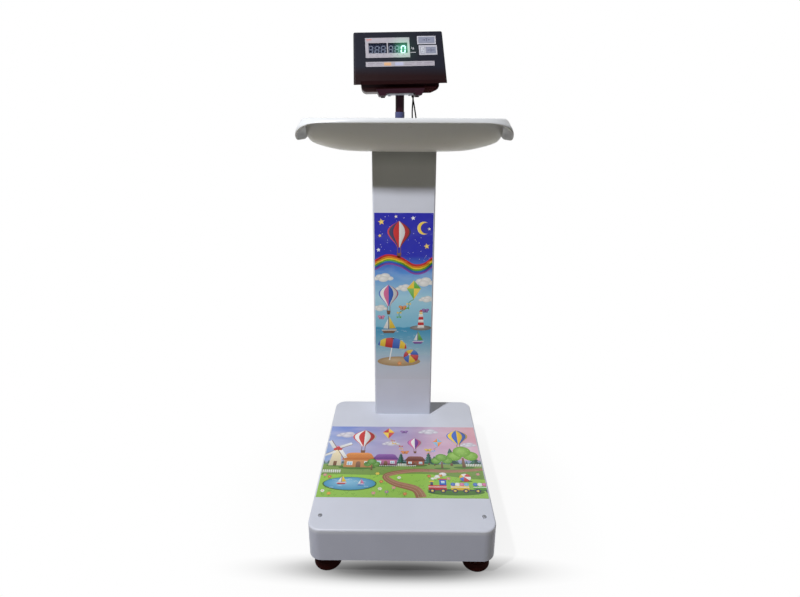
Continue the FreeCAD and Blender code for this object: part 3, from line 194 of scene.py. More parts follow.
class Look(Nodes):
    """One procedural material: a Principled shader and the nodes that vary it."""

    def __init__(self, name, colour, roughness, gloss=0.5):
        self.material = bpy.data.materials.new(name)
        self.material.use_nodes = True
        super().__init__(self.material.node_tree)
        self.shader = self.tree.nodes["Principled BSDF"]
        self.colour, self.roughness, self.normal = srgb(*colour), roughness, None
        self.put("Base Color", self.colour)
        self.put("Roughness", roughness)
        self.put("Specular IOR Level", gloss)
        self.where = self.node("TexCoord", "Object", {})

    def put(self, name, source):
        self.connect(source, self.shader.inputs[name])

    def show(self, share, first, second):
        """Shows a mix of two shaders as the surface."""
        blend = self.node("MixShader", "Shader", {0: share, 1: first, 2: second})
        self.connect(blend, self.tree.nodes["Material Output"].inputs["Surface"])

    def mapped(self, scale, shift=(0, 0, 0)):
        return self.node("Mapping", "Vector", {"Vector": self.where, "Location": shift, "Scale": scale})

    def within(self, x, y, half_x, half_y):
        """Place over the floor from the middle of an oval or box, 1 along each axis at its edge."""
        return self.mapped((1 / half_x, 1 / half_y, 0), (-x / half_x, -y / half_y, 0))

    def noise(self, size, detail=3.0, stretch=(1, 1, 1)):
        """Noise whose features are about size metres across, longer along stretched axes."""
        place = self.mapped([1 / size / s for s in stretch])
        return self.node("TexNoise", "Fac", {"Vector": place, "Scale": 1.0, "Detail": detail})

    def spots(self, size, detail=3.0, stretch=(1, 1, 1), low=0.0, high=1.0):
        """Noise with more contrast, from low to high."""
        return self.span(self.noise(size, detail, stretch), 0.3, 0.7, low, high)

    def cells(self, size):
        return self.node("TexVoronoi", "Distance", {"Vector": self.where, "Scale": 1 / size})

    def axis(self, name, place=None):
        return self.node("SeparateXYZ", name, {"Vector": place or self.where})

    def along(self, axis, low, high):
        """Goes from 0 at low to 1 at high along an axis, in metres."""
        return self.span(self.axis(axis), low, high)

    def step(self, axis, low, high, below, above):
        """Goes from one colour to another between two places on an axis."""
        return self.mixed(self.along(axis, low, high), below, above)

    def vector(self, operation, first, second=(0, 0, 0)):
        output = "Value" if operation in NUMBER_RESULTS else "Vector"
        return self.node("VectorMath", output, {0: first, 1: second}, operation=operation)

    def facing_down(self):
        """Goes from 0 on upright faces to 1 on faces that look mostly down."""
        height = self.axis("Z", self.node("NewGeometry", "Normal", {}))
        return self.span(height, -0.8, -0.1, 1.0, 0.0)

    def tinted(self, amount, size, detail=3.0, stretch=(1, 1, 1)):
        """The look's colour, darker and lighter by amount in clouds of that size."""
        dark, light = [[min(c * share, 1.0) for c in self.colour[:3]] + [1.0]
                       for share in (1 - amount, 1 + amount)]
        return self.mixed(self.spots(size, detail, stretch), dark, light)

    def paint(self, colour):
        self.put("Base Color", colour)

    def rough(self, below, above, size, detail=3.0, stretch=(1, 1, 1)):
        """Roughness that strays below and above the look's own in spots of that size."""
        low, high = self.roughness - below, self.roughness + above
        self.put("Roughness", self.spots(size, detail, stretch, low, high))

    def bump(self, value, height, strength=0.5):
        """Relief of that height in metres."""
        sources = {"Strength": strength, "Distance": height, "Height": value}
        if self.normal is not None:
            sources["Normal"] = self.normal
        self.normal = self.node("Bump", "Normal", sources)
        self.put("Normal", self.normal)

    def soft_edges(self, radius):
        self.normal = self.node("Bevel", "Normal", {"Radius": radius}, samples=4)
        self.put("Normal", self.normal)

    def lit_by_digit(self, reach, strength):
        """Green light that the lit digit spills on the surface around it."""
        digit = over_panel(0) @ Vector((LIT_DIGIT, DIGIT_MIDDLE, 0)) * MM
        away = self.vector("DISTANCE", self.where, digit)
        fade = self.number("POWER", self.span(away, 0.006, reach, 1.0, 0.0), 2.0)
        self.put("Emission Strength", self.span(fade, 0.0, 1.0, 0.0, strength))
        self.put("Emission Color", DIGIT_GLOW)


def powder_coat(look, skirt=UNTINTED, front=greys_at((0.0, 1.0), (1.0, 1.0))):
    """Baked paint: orange peel, clouds and dust in the gloss, with painted shade on the skirt and a painted
    shadow up its front.
    """
    # Painted shadow: in front of the column's face, the front ramp darkens the paint up to the tray.
    behind = look.along("Y", COLUMN_FRONT, COLUMN_FRONT + 0.001)
    shade = look.mixed(behind, look.ramp(look.axis("Z"), front), UNTINTED)
    # Painted shade: the skirt colour darkens the paint below the platform's top edge.
    look.paint(look.times(look.tinted(0.025, 0.09), look.step("Z", 0.105, 0.114, skirt, UNTINTED), shade))
    look.rough(0.05, 0.07, 0.02, 4.0)
    look.bump(look.noise(0.0022, 1.0), 0.00008)


def gloss_paint(look):
    """Sprayed gloss paint on steel tube, with sharp edges slightly softened."""
    look.soft_edges(0.0006)
    look.paint(look.tinted(0.10, 0.03))
    look.rough(0.06, 0.12, 0.006, 4.0)
    look.bump(look.noise(0.0016, 1.0), 0.00005)


def moulded_tray(look):
    """Satin white plastic with faint flow marks, painted shade and less gloss on its outer band below the
    rim, and painted bounce light on faces that look down.
    """
    place = look.within(*TRAY_OUTLINE)
    squared = look.vector("MULTIPLY", place, place)
    outward = look.vector("DOT_PRODUCT", look.vector("MULTIPLY", squared, squared), squared)
    # Painted shade: the tray's outer band below its rim, where the end lips hang, is darkened and loses
    # gloss.
    lip_shade_mask = look.step("Z", 0.900, 0.924, look.span(outward, 0.56, 0.62), grey(0.0))
    look.put("Specular IOR Level", look.span(lip_shade_mask, 0.0, 1.0, 0.5, 0.06))
    painted_shade = look.mixed(lip_shade_mask, UNTINTED, grey(0.72))
    # Painted bounce light: faces that look down are lighter and warmer.
    painted_bounce_light = look.mixed(look.facing_down(), UNTINTED, (1.32, 1.30, 1.17, 1.0))
    look.paint(look.times(look.tinted(0.018, 0.14, 2.0, (2.5, 1, 1)), painted_bounce_light, painted_shade))
    look.rough(0.07, 0.10, 0.012, 6.0, (3, 1, 1))
    look.bump(look.noise(0.0009, 2.0), 0.00002)


def grain(look, size):
    """Spark-eroded texture: small rounded cells under a finer roughness."""
    look.soft_edges(0.0007)
    look.rough(0.06, 0.08, 0.004, 5.0)
    look.bump(look.cells(size), size * 0.10, 0.45)
    look.bump(look.noise(size * 0.5, 2.0), size * 0.05, 0.4)


def grained_plastic(look, size):
    look.paint(look.tinted(0.12, 0.05))
    grain(look, size)


def case_plastic(look):
    """Reddish black moulding with painted reflections, brownish on faces that look down and bluish black on
    the flat panel, less glossy on the right of the lower case, and with the lit digit's green light painted
    on it as a glow.
    """
    dull = look.step("Z", 1.022, 1.030, look.along("X", -0.10, -0.04), grey(0.2))
    look.put("Specular IOR Level", look.span(dull, 0.0, 1.0, 0.12, 0.0))
    # Painted reflection: brownish on faces that look down, and bluish black on the panel from the lower case
    # up.
    body = look.mixed(look.facing_down(), look.tinted(0.14, 0.05), srgb(66, 36, 36))
    look.paint(look.step("Z", 1.046, 1.070, body, srgb(28, 29, 40)))
    grain(look, 0.0009)
    # Painted glow of the lit digit on the case.
    look.lit_by_digit(0.062, 0.035)


def rubber(look):
    look.paint(look.tinted(0.25, 0.006, 5.0))
    look.rough(0.12, 0.10, 0.003, 4.0)
    look.bump(look.noise(0.0007), 0.00006, 0.7)


def bright_metal(look, stretch, low_share=1.0):
    """Metal with marks drawn out along its working direction, duller on the platform and below."""
    look.put("Metallic", 1.0)
    look.soft_edges(0.0004)
    dull = look.step("Z", 0.13, 0.15, grey(low_share), UNTINTED)
    look.paint(look.times(look.tinted(0.09, 0.012, 4.0), dull))
    look.rough(0.09, 0.13, 0.0006, 3.0, stretch)
    look.bump(look.noise(0.0006, 3.0, stretch), 0.00002)


def printed_overlay(look, spill=0.0):
    """Printed plastic overlay with a very fine screen-print texture; with a spill, the lit digit's green
    light is painted on it as a glow.
    """
    if spill:
        # Painted glow of the lit digit on the overlay.
        look.lit_by_digit(0.052, spill)
    look.paint(look.tinted(0.04, 0.008, 4.0))
    look.rough(0.05, 0.08, 0.002)
    look.bump(look.cells(0.0005), 0.00001, 0.35)


def smoked_window(look):
    """Dark acrylic that lets the digits behind it show, with the lit digit's green light painted on it as a
    glow.
    """
    look.rough(0.04, 0.06, 0.004)
    # Painted glow of the lit digit on the window.
    look.lit_by_digit(0.036, 0.8)
    clear = look.node("BsdfTransparent", "BSDF", {"Color": srgb(236, 240, 248)})
    look.show(0.28, clear, look.shader.outputs["BSDF"])


def circuit_board(look):
    """Green laminate with copper tracks under the mask."""
    look.paint(look.node("TexBrick", "Color", {
        "Vector": look.where, "Scale": 140.0, "Color1": look.colour, "Color2": srgb(24, 104, 52),
        "Mortar": srgb(70, 142, 70)}))
    look.bump(look.noise(0.001), 0.00002, 0.4)


def light_segment(look):
    """Light-emitting bar of the display, a little uneven along its length."""
    glow = look.ramp(look.spots(0.004), [(0.0, look.colour), (1.0, srgb(226, 255, 238))])
    look.put("Emission Color", glow)
    look.put("Emission Strength", 4.0)


def platform_sky(look):
    """Evening sky behind the landscape, bluer on the left and pinker on the right."""
    across = look.along("X", -0.196, 0.196)
    high = look.ramp(across, inks_at((0.0, 104, 138, 214), (0.45, 150, 146, 196), (1.0, 220, 156, 164)))
    low = look.ramp(across, inks_at((0.0, 140, 168, 216), (0.5, 190, 170, 204), (1.0, 218, 166, 190)))
    haze = look.span(look.noise(0.05, 3.0, (2.4, 1, 1)), 0.42, 0.7, 0.0, 0.35)
    look.paint(look.mixed(haze, look.step("Y", -0.10, 0.0, low, high), srgb(236, 226, 240)))
    film_surface(look)


def column_sky(look):
    """Night blue at the top, day sky, sea, and a fade into the paint at the bottom."""
    height = look.along("Z", 0.232, 0.707)
    sky = look.ramp(height, inks_at(
        (0.0, 204, 207, 220), (0.10, 196, 206, 222), (0.26, 96, 172, 208), (0.33, 120, 186, 216),
        (0.52, 164, 210, 232), (0.66, 84, 144, 218), (0.76, 22, 30, 172), (1.0, 18, 16, 166)))
    clouds = look.span(look.noise(0.035, 4.0, (2.2, 1, 1)), 0.5, 0.75, 0.0, 0.3)
    by_day = look.ramp(height, greys_at((0.3, 0.0), (0.5, 1.0), (0.66, 1.0), (0.8, 0.12)))
    look.paint(look.mixed(look.number("MULTIPLY", clouds, by_day), sky, srgb(206, 226, 240)))
    film_surface(look)


def film_surface(look):
    look.rough(0.06, 0.08, 0.01)
    look.bump(look.cells(0.0009), 0.00001, 0.3)


def print_ink(look):
    """Ink of the printed motifs, whose colours are stored with their corners."""
    stored = look.node("VertexColor", "Color", {}, layer_name=INK)
    paper = look.ramp(look.spots(0.0012, 2.0), inks_at((0.0, 242, 242, 242), (1.0, 255, 255, 255)))
    look.paint(look.times(stored, paper))
    look.rough(0.06, 0.08, 0.01)


def finished(name, colour, roughness, gloss, dress, *details):
    """Material of that colour, roughness and gloss, varied by its dress function."""
    look = Look(name, colour, roughness, gloss)
    dress(look, *details)
    return look.material


# Painted shade for the platform's skirt, darker and bluer than its top.
PAINTED_SKIRT_SHADE = (0.72, 0.735, 0.80, 1.0)
# Painted shadow of the tray on the column's front, from its lower edge at z 0.768 up to the darkest part
# under the tray.
TRAY_SHADE = [(0.768, UNTINTED), (0.776, (0.76, 0.75, 0.64, 1.0)), (0.822, (0.70, 0.69, 0.58, 1.0)),
              (0.852, (0.42, 0.41, 0.34, 1.0))]
FINISHES = {row[0]: finished(*row) for row in (
    ("painted_steel", (208, 212, 226), 0.40, 0.5, powder_coat, PAINTED_SKIRT_SHADE, TRAY_SHADE),
    ("frame_steel", (62, 64, 70), 0.45, 0.5, powder_coat),
    ("platform_print", (190, 190, 225), 0.36, 0.5, platform_sky),
    ("column_print", (150, 190, 230), 0.36, 0.5, column_sky),
    ("tray_plastic", (208, 211, 216), 0.34, 0.5, moulded_tray),
    ("foot_rubber", (34, 5, 3), 0.78, 0.06, rubber),
    ("zinc_steel", (178, 180, 188), 0.42, 0.5, bright_metal, (1, 1, 1), 0.55),
    ("cell_aluminium", (206, 207, 210), 0.34, 0.5, bright_metal, (1, 30, 1)),
    ("arm_paint", (74, 79, 122), 0.34, 0.3, gloss_paint),
    ("black_steel", (45, 18, 30), 0.40, 0.12, gloss_paint),
    ("black_plastic", (25, 5, 8), 0.36, 0.5, case_plastic),
    ("bezel_film", (166, 162, 172), 0.38, 0.3, printed_overlay, 0.45),
    ("window_acrylic", (36, 40, 60), 0.16, 0.25, smoked_window),
    ("digit_plastic", (40, 44, 64), 0.30, 0.3, printed_overlay),
    ("board_laminate", (18, 92, 48), 0.35, 0.5, circuit_board),
    ("key_print", (132, 136, 156), 0.42, 0.3, printed_overlay),
    ("key_surround", (186, 186, 198), 0.38, 0.3, printed_overlay),
    ("battery_case", (44, 44, 48), 0.5, 0.3, grained_plastic, 0.0012),
    ("transformer_core", (92, 88, 88), 0.5, 0.5, bright_metal, (20, 20, 1)),
    ("cable_jacket", (9, 6, 7), 0.78, 0.06, rubber),
    ("rocker_plastic", (18, 18, 20), 0.25, 0.3, grained_plastic, 0.0006),
)}
INK_FINISH = finished("print_ink", (200, 200, 200), 0.36, 0.5, print_ink)


def dress_nodes():
    """Gives every constructed node the finish of its material slot."""
    for part in frame["record"]["subparts"]:
        mesh = frame["nodes"][part["node"]].data
        mesh.materials.clear()
        mesh.materials.append(FINISHES[part["material_slot"]])


# ---- printed pictures ----
INK_LAYER = 0.012
WHITE, CREAM, NAVY, WOOD = (250, 250, 250), (250, 236, 200), (38, 36, 78), (128, 84, 56)
RED, ORANGE, YELLOW = (206, 34, 36), (240, 132, 36), (252, 210, 46)
GREEN, BLUE, VIOLET = (92, 176, 52), (44, 98, 204), (132, 70, 170)
PINK, SKY_BLUE, HAZE = (226, 112, 164), (104, 188, 232), (226, 222, 240)
LEAF, FIR = (136, 206, 40), (26, 92, 70)
RAINBOW = (RED, ORANGE, YELLOW, GREEN, BLUE, VIOLET)


def between(first, second, share):
    return tuple(a + (b - a) * share for a, b in zip(first, second))


def shaded(ink, shade):
    """Darker ink for a negative shade, lighter for a positive one."""
    return between(ink, WHITE, shade) if shade > 0 else tuple(v * (1 + shade) for v in ink)


def away(x, y, reach, heading):
    angle = radians(heading)
    return (x + reach * cos(angle), y + reach * sin(angle))


def arc(x, y, width, height, start=0.0, end=360.0, steps=24, turn=0.0):
    """Points of an oval or of a part of it, with its half width and half height."""
    c, s = away(0, 0, 1, turn)
    points = []
    for k in range(steps if abs(end - start) >= 360 else steps + 1):
        u, v = away(0, 0, 1, start + (end - start) * k / steps)
        points.append((x + u * width * c - v * height * s, y + u * width * s + v * height * c))
    return points


def box(x0, x1, y0, y1):
    return [(x0, y0), (x1, y0), (x1, y1), (x0, y1)]


def taper(y0, y1, low_half, high_half):
    """Upright outline around x = 0, with its half widths at its foot and top."""
    return [(-low_half, y0), (low_half, y0), (high_half, y1), (-high_half, y1)]


def sides(points, widths):
    """Left and right edge of a line that has those widths at its points."""
    left, right = [], []
    for k, ((x, y), width) in enumerate(zip(points, widths)):
        (x0, y0), (x1, y1) = points[max(k - 1, 0)], points[min(k + 1, len(points) - 1)]
        share = width / 2 / hypot(x1 - x0, y1 - y0)
        u, v = (y0 - y1) * share, (x1 - x0) * share
        left.append((x + u, y + v))
        right.append((x - u, y - v))
    return left, right


class Picture:
    """Flat motifs printed in thin layers on a film, in millimetres right and up from its middle.

    A motif is drawn around (0, 0) in units of its own size. Low and high are an ink's shades at
    the foot and top of a form, and top is another ink for its top.
    """

    def __init__(self, place, width=240, height=240):
        self.place = place
        self.half = (width / 2, height / 2)
        self.layer, self.at, self.size = 0, (0, 0), 1
        self.corners, self.faces, self.inks = [], [], []

    def lay(self, layer, motif, *placings):
        """Prints a motif from that layer up, once for each placing: its x, y, size and details."""
        for x, y, size, *details in placings:
            self.layer, self.at, self.size = layer, (x, y), size
            motif(self, *details)

    def spread(self, layer, motif, *details):
        """Prints what is drawn in the film's own millimetres."""
        self.lay(layer, motif, (0, 0, 1, *details))

    def up(self, layers=1):
        """Raises what comes next by that many layers."""
        self.layer += layers
        return self

    def add(self, points, inks, faces):
        (x, y), (w, h) = self.at, self.half
        flat = [(min(max(x + u * self.size, -w), w), min(max(y + v * self.size, -h), h)) for u, v in points]
        first = len(self.corners)
        for (u, v), ink in zip(flat, inks):
            self.corners.append(self.place @ Vector((u, v, INK_LAYER * (self.layer + 1))) * MM)
            self.inks.append(srgb(*ink))
        for face in faces:
            area = sum(flat[a][0] * flat[b][1] - flat[b][0] * flat[a][1]
                       for a, b in zip(face, (*face[1:], face[0])))
            if abs(area) > 0.001:
                order = face if area > 0 else face[::-1]
                self.faces.append([first + k for k in order])

    def plate(self, points, ink, low=0.0, high=0.0, top=None):
        heights = [point[1] for point in points]
        bottom, rise = min(heights), max(heights) - min(heights)
        first, last = shaded(ink, low), shaded(top or ink, high)
        inks = [between(first, last, (y - bottom) / rise) for y in heights]
        self.add(points, inks, [tuple(range(len(points)))])

    def fan(self, middle, rim, ink, inner, outer):
        """Filled outline with one shade in its middle and another along its rim."""
        count = len(rim)
        faces = [(0, k + 1, (k + 1) % count + 1) for k in range(count)]
        self.add([middle, *rim], [shaded(ink, inner)] + [shaded(ink, outer)] * count, faces)

    def oval(self, x, y, width, height, ink, shine=0.35, turn=0.0):
        """Rounded spot, lighter towards its upper left."""
        rim = arc(x, y, width, height, turn=turn)
        self.fan((x - 0.25 * width, y + 0.3 * height), rim, ink, shine, -0.12)

    def strip(self, first, second, ink, low=0.0, high=0.0, top=None):
        """Ribbon between two rows of points."""
        count = len(first)
        inks = [shaded(ink, low)] * count + [shaded(top or ink, high)] * count
        faces = [(k, k + 1, count + k + 1, count + k) for k in range(count - 1)]
        self.add([*first, *second], inks, faces)

    def bands(self, rows, first, last):
        """Ribbons between rows of points, from the first ink to the last."""
        inks = [between(first, last, k / (len(rows) - 1)) for k in range(len(rows))]
        for k in range(len(rows) - 1):
            self.strip(rows[k], rows[k + 1], inks[k], top=inks[k + 1])

    def stroke(self, points, width, ink, shade=0.0):
        self.strip(*sides(points, [width] * len(points)), ink, shade, shade)

    def print_on(self, name, body):
        mesh = add_mesh(name, self.corners, self.faces)
        inks = mesh.color_attributes.new(INK, "FLOAT_COLOR", "POINT")
        for item, ink in zip(inks.data, self.inks):
            item.color = ink
        add_piece(name, mesh, INK_FINISH, body)


def cloud(film, ink=WHITE):
    puffs = ((-1.15, -0.05, 0.5), (1.05, 0.0, 0.55), (-0.5, 0.25, 0.68), (0.3, 0.38, 0.78), (0, -0.1, 0.8))
    for x, y, reach in puffs:
        film.up(0.25).oval(x, y, reach, reach * 0.6, ink, 0.5)


def ground_shadow(film):
    film.oval(0, 0, 1, 0.16, (76, 124, 44), 0.0)


def hot_air_balloon(film, inks):
    """Envelope of six gores over a basket; its size is its half width."""
    gores, steps, height = 6, 18, 2.25
    outline = [(0.16 * (1 - t) ** 2 + 0.95 * sin(pi * t ** 1.35), height * (t - 0.5))
               for t in (k / steps for k in range(steps + 1))]
    seams = [sin(radians(-90 + 180 * k / gores)) for k in range(gores + 1)]
    rows = [[(seam * reach, y) for reach, y in outline] for seam in seams]
    basket_top, basket_low = -0.72 * height, -0.9 * height
    for side in (-0.13, 0.13):
        film.stroke([(side, -0.5 * height), (side, basket_top)], 0.05, WOOD)
    film.plate(taper(basket_low, basket_top, 0.14, 0.2), WOOD, -0.3)
    for k in range(gores):
        light = 0.22 - 0.09 * k
        film.strip(rows[k], rows[k + 1], inks[k % len(inks)], light, light - 0.1)


def kite(film, inks, tail):
    """Diamond kite with a waving tail of bows that hangs to the given side."""
    corners = [(0, 1), (0.7, 0.15), (0, -1), (-0.7, 0.15)]
    line = [(tail * (0.14 * k + 0.2 * sin(0.9 * k)), -1 - 0.16 * k) for k in range(13)]
    film.stroke(line, 0.06, inks[0], -0.2)
    film.up(0.5)
    for k in range(3, 13, 3):
        x, y = line[k]
        for side in (-0.22, 0.22):
            film.plate([(x, y), (x + side, y + 0.12), (x + side, y - 0.12)], inks[k % 2])
    for k in range(4):
        film.plate([(0, 0.15), corners[k], corners[(k + 1) % 4]], inks[k % 2], 0, 0.3)


def beach_ball(film, inks):
    film.oval(0, 0, 1, 1, inks[0])
    film.up()
    for k in range(6):
        wedge = arc(0, 0, 0.97, 0.97, 60 * k + 12, 60 * k + 72, 8)
        film.plate([(-0.2, 0.25)] + wedge, inks[k % len(inks)], -0.12, 0.3)
    film.up().oval(-0.2, 0.25, 0.16, 0.14, WHITE)


def star(film, ink, turn=9):
    rim = [away(0, 0, (1, 0.45)[k % 2], 90 + turn + 36 * k) for k in range(10)]
    film.fan((0, 0), rim, ink, 0.5, 0)


def crescent(film, ink):
    outer, inner = arc(0, 0, 1, 1, 60, 300), arc(0.38, 0, 0.86, 0.86, 283, 77)
    film.strip(outer, inner[::-1], ink, 0.4)


def conifer(film):
    film.plate(taper(0, 0.2, 0.05, 0.05), WOOD, -0.3)
    for k in range(4):
        low, wide = 0.12 + 0.2 * k, 0.3 - 0.06 * k
        film.up()
        for side, light in ((-wide, 0.16), (wide, -0.2)):
            edge = [(side * u, low + 0.05 * (1 - u) * cos(9 * u)) for u in (1, 0.8, 0.6, 0.4, 0.2, 0)]
            film.plate(edge + [(0, low + 0.34)], FIR, light - 0.16, light + 0.1)


def leafy_tree(film, ink):
    film.plate(taper(0, 1, 0.12, 0.07), WOOD, -0.25, 0.1)
    for x, y, reach in ((-0.55, 1.15, 0.5), (0.55, 1.2, 0.52), (0, 1.65, 0.62)):
        film.up().oval(x, y, reach, 0.92 * reach, shaded(ink, -0.1), 0.32)
        film.up()
        for k in range(9):
            u, v = away(x, y, (0.2 + 0.07 * k) * reach, degrees(2.4 * k))
            film.oval(u, v, 0.11 * reach, 0.06 * reach, shaded(ink, 0.18), 0.2, 40 * k)


def cottage(film, wall, roof):
    """House seen from the front, with a tiled roof, a door, two windows and a chimney."""
    high = 0.42
    eaves, ridge = 0.92 * high, high + 0.36
    film.plate(box(0.22, 0.32, high, 1.05 * high + 0.34), roof, -0.3)
    film.plate(taper(0, high, 0.5, 0.5), wall, -0.16)
    slope = [(0.6, eaves), (0.42, ridge - 0.05), (0.3, ridge)]
    film.up().plate([(-0.6, eaves)] + slope + [(-0.3, ridge), (-0.42, ridge - 0.05)], roof, -0.22, 0.25)
    film.up()
    for k in range(1, 5):
        y, reach = eaves + (ridge - eaves) * k / 5, 0.97 * (0.6 - 0.27 * (k / 5) ** 1.5)
        tiles = [(reach * (j / 12 - 1), y + 0.008 * sin(2.6 * j)) for j in range(25)]
        film.stroke(tiles, 0.012, roof, -0.3)
    film.plate(arc(0, 0.5 * high, 0.08, 0.1, 0, 180, 10) + [(-0.08, 0), (0.08, 0)], WOOD, -0.2, 0.15)
    for x in (-0.3, 0.3):
        y, pane, edge = 0.5 * high, 0.075, 0.0975
        film.plate(box(x - edge, x + edge, y - edge, y + edge), WHITE)
        film.up().plate(box(x - pane, x + pane, y - pane, y + pane), SKY_BLUE, -0.2, 0.5)
        film.up().stroke([(x, y - pane), (x, y + pane)], 0.25 * pane, WHITE)
        film.stroke([(x - pane, y), (x + pane, y)], 0.25 * pane, WHITE)


def windmill(film):
    hub = 0.76
    film.plate(taper(0, 0.72, 0.19, 0.11), CREAM, -0.18)
    film.up().plate(arc(0, 0.72, 0.13, 0.16, 0, 180, 14), RED, 0, 0.2)
    film.plate(taper(0, 0.2, 0.05, 0.05), WOOD, -0.2)
    film.up()
    for k in range(4):
        c, s = away(0, 0, 1, 28 + 90 * k)
        film.stroke([(0, hub), (0.5 * c, hub + 0.5 * s)], 0.02, WOOD)
        film.plate([(u * c - v * s, hub + u * s + v * c) for u, v in box(0.1, 0.5, 0.01, 0.12)], WHITE, -0.12)
    film.up().oval(0, hub, 0.035, 0.035, RED)


def picket_fence(film, length):
    for y in (0.3, 0.68):
        film.stroke([(0, y), (length, y)], 0.1, WHITE, -0.1)
    film.up()
    pitch = 0.42
    for k in range(int(length / pitch) + 1):
        x = k * pitch
        film.plate([(x, 0), (x + 0.2, 0), (x + 0.2, 0.85), (x + 0.1, 1), (x, 0.85)], WHITE, -0.16)


def sailing_boat(film, hull, sail):
    film.plate([(-0.75, 0), (-0.5, -0.38), (0.5, -0.38), (0.85, 0.04)], hull, -0.2, 0.15)
    film.stroke([(0, 0.05), (0, 1.5)], 0.06, WOOD)
    film.up().plate([(0.06, 0.12), (0.72, 0.18), (0.4, 0.8), (0.06, 1.45)], sail, -0.15, 0.3)
    film.plate([(-0.07, 0.12), (-0.07, 1.2), (-0.55, 0.16)], WHITE, -0.12)
    film.stroke([(-0.7, -0.05), (0.8, -0.03)], 0.07, WHITE)


def engine(film):
    """Cab, funnel and smoke over the first wagon."""
    film.plate(box(0.2, 0.85, 0.85, 1.6), BLUE, -0.15)
    film.plate(box(0.1, 0.95, 1.6, 1.74), RED)
    film.plate(box(-0.65, -0.4, 0.85, 1.3), NAVY, 0, 0.3)
    film.plate(arc(-0.52, 1.3, 0.24, 0.14, 0, 180, 10), YELLOW)
    film.up(0.5).plate(box(0.36, 0.7, 1.1, 1.42), SKY_BLUE, top=WHITE)
    for k in range(3):
        film.up(0.25).oval(0.5 * k - 0.4, 1.75 + 0.3 * k, 0.2 + 0.08 * k, 0.15 + 0.06 * k, WHITE)


def toy_train(film):
    """Engine and two wagons on wheels; its size is the height of a wagon."""
    ground = film.layer
    for k, ink in enumerate((RED, YELLOW, GREEN)):
        x = 2.1 * k
        film.layer = ground
        film.plate(box(x - 0.95, x + 1.13, 0.14, 0.24), NAVY)
        film.up().plate(box(x - 0.85, x + 0.85, 0.2, 0.85), ink, -0.25, 0.15)
        if k == 0:
            engine(film)
        else:
            for j, load in enumerate((BLUE, WHITE, PINK, SKY_BLUE)):
                film.up(0.25).oval(x + 0.42 * j - 0.63, 0.98, 0.24, 0.24, load)
        film.layer = ground + 3
        film.stroke([(x - 0.85, 0.62), (x + 0.85, 0.62)], 0.07, WHITE)
        for reach, part, shine in ((0.27, NAVY, 0.2), (0.13, YELLOW, 0.35)):
            for side in (-0.5, 0.5):
                film.oval(x + side, 0.12, reach, reach, part, shine)
            film.up()


def flower(film, ink):
    film.stroke([(0, 0), (-0.15, -1), (0, -2)], 0.16, GREEN, -0.25)
    film.oval(0.4, -1.4, 0.42, 0.15, GREEN, 0.2, 35)
    for k in range(6):
        film.up(0.25).oval(*away(0, 0, 0.55, 60 * k), 0.42, 0.26, ink, 0.4, 60 * k)
    film.up(0.5).oval(0, 0, 0.3, 0.3, YELLOW)


def butterfly(film, ink):
    for side, lean in ((-1, 160), (1, 20)):
        film.up(0.25).oval(0.32 * side, -0.25, 0.36, 0.24, shaded(ink, -0.15), 0.4, -lean)
        film.up(0.25).oval(0.45 * side, 0.25, 0.55, 0.36, ink, 0.4, lean)
    film.up(0.5).oval(0, 0, 0.07, 0.5, NAVY)


def lighthouse(film):
    film.oval(0, 0, 0.55, 0.14, (120, 112, 110))
    film.up()
    for k in range(5):
        band = taper(0.15 * k, 0.15 * k + 0.15, 0.17 - 0.014 * k, 0.156 - 0.014 * k)
        film.plate(band, (WHITE, RED)[k % 2], -0.12)
    film.plate(taper(0.75, 0.88, 0.07, 0.07), YELLOW, top=CREAM)
    film.up().plate([(-0.11, 0.88), (0.11, 0.88), (0, 1)], RED)


def parasol(film, inks):
    film.stroke([(0, 0), (0.25, 1.5)], 0.08, WHITE)
    film.up()
    rim, dome = [arc(0.2, 1.1, 1.05, rise, 180, 0, 30, -8) for rise in (-0.12, 0.68)]
    for k in range(6):
        film.strip(rim[5 * k:5 * k + 6], dome[5 * k:5 * k + 6], inks[k % len(inks)], -0.15, 0.2)
    film.oval(0.27, 1.75, 0.08, 0.08, WHITE)


# ---- the two pictures ----
PLATFORM_FILM = (Matrix.Translation((0, -134, 118.2)), 392, 273)
COLUMN_FILM = (Matrix.Translation((0, 67.3, 469.5)) @ Matrix.Rotation(radians(90), 4, "X"), 152, 475)
HORIZON = -20.0
COLUMN_SEA, COLUMN_SHORE = -78.0, -190.0


def hills(film, base, rise, waves, shift, low, high, bottom=-136.5):
    """Rolling ground from edge to edge, shaded from its crest down to the bottom."""
    across, count = [film.half[0] * (k / 30 - 1) for k in range(61)], 8
    crest = [(x, base + rise * (sin(waves * x / 62 + shift) + 0.4 * sin(waves * x / 23))) for x in across]
    rows = [[(x, y + (bottom - y) * (k / count) ** 1.3) for x, y in crest] for k in range(count + 1)]
    film.bands(rows, high, low)


def dirt_road(film, points, ink):
    left, right = sides(points, [9 + 17 * (k / len(points)) ** 1.5 for k in range(len(points))])
    film.strip(left, right, ink, 0.12, -0.1)
    film.up()
    for share in (0.3, 0.7):
        film.stroke([between(a, b, share) for a, b in zip(left, right)], 1.2, ink, 0.3)


def curve_through(*points, steps=8):
    """Smooth row of points through the given ones."""
    row = []
    ends = [Vector(point) for point in (points[0], *points, points[-1])]
    for a, b, c, d in zip(ends, ends[1:], ends[2:], ends[3:]):
        row += interpolate_bezier(b, b + (c - a) / 6, c - (d - b) / 6, c, steps + 1)[:-1]
    return [*row, ends[-1]]


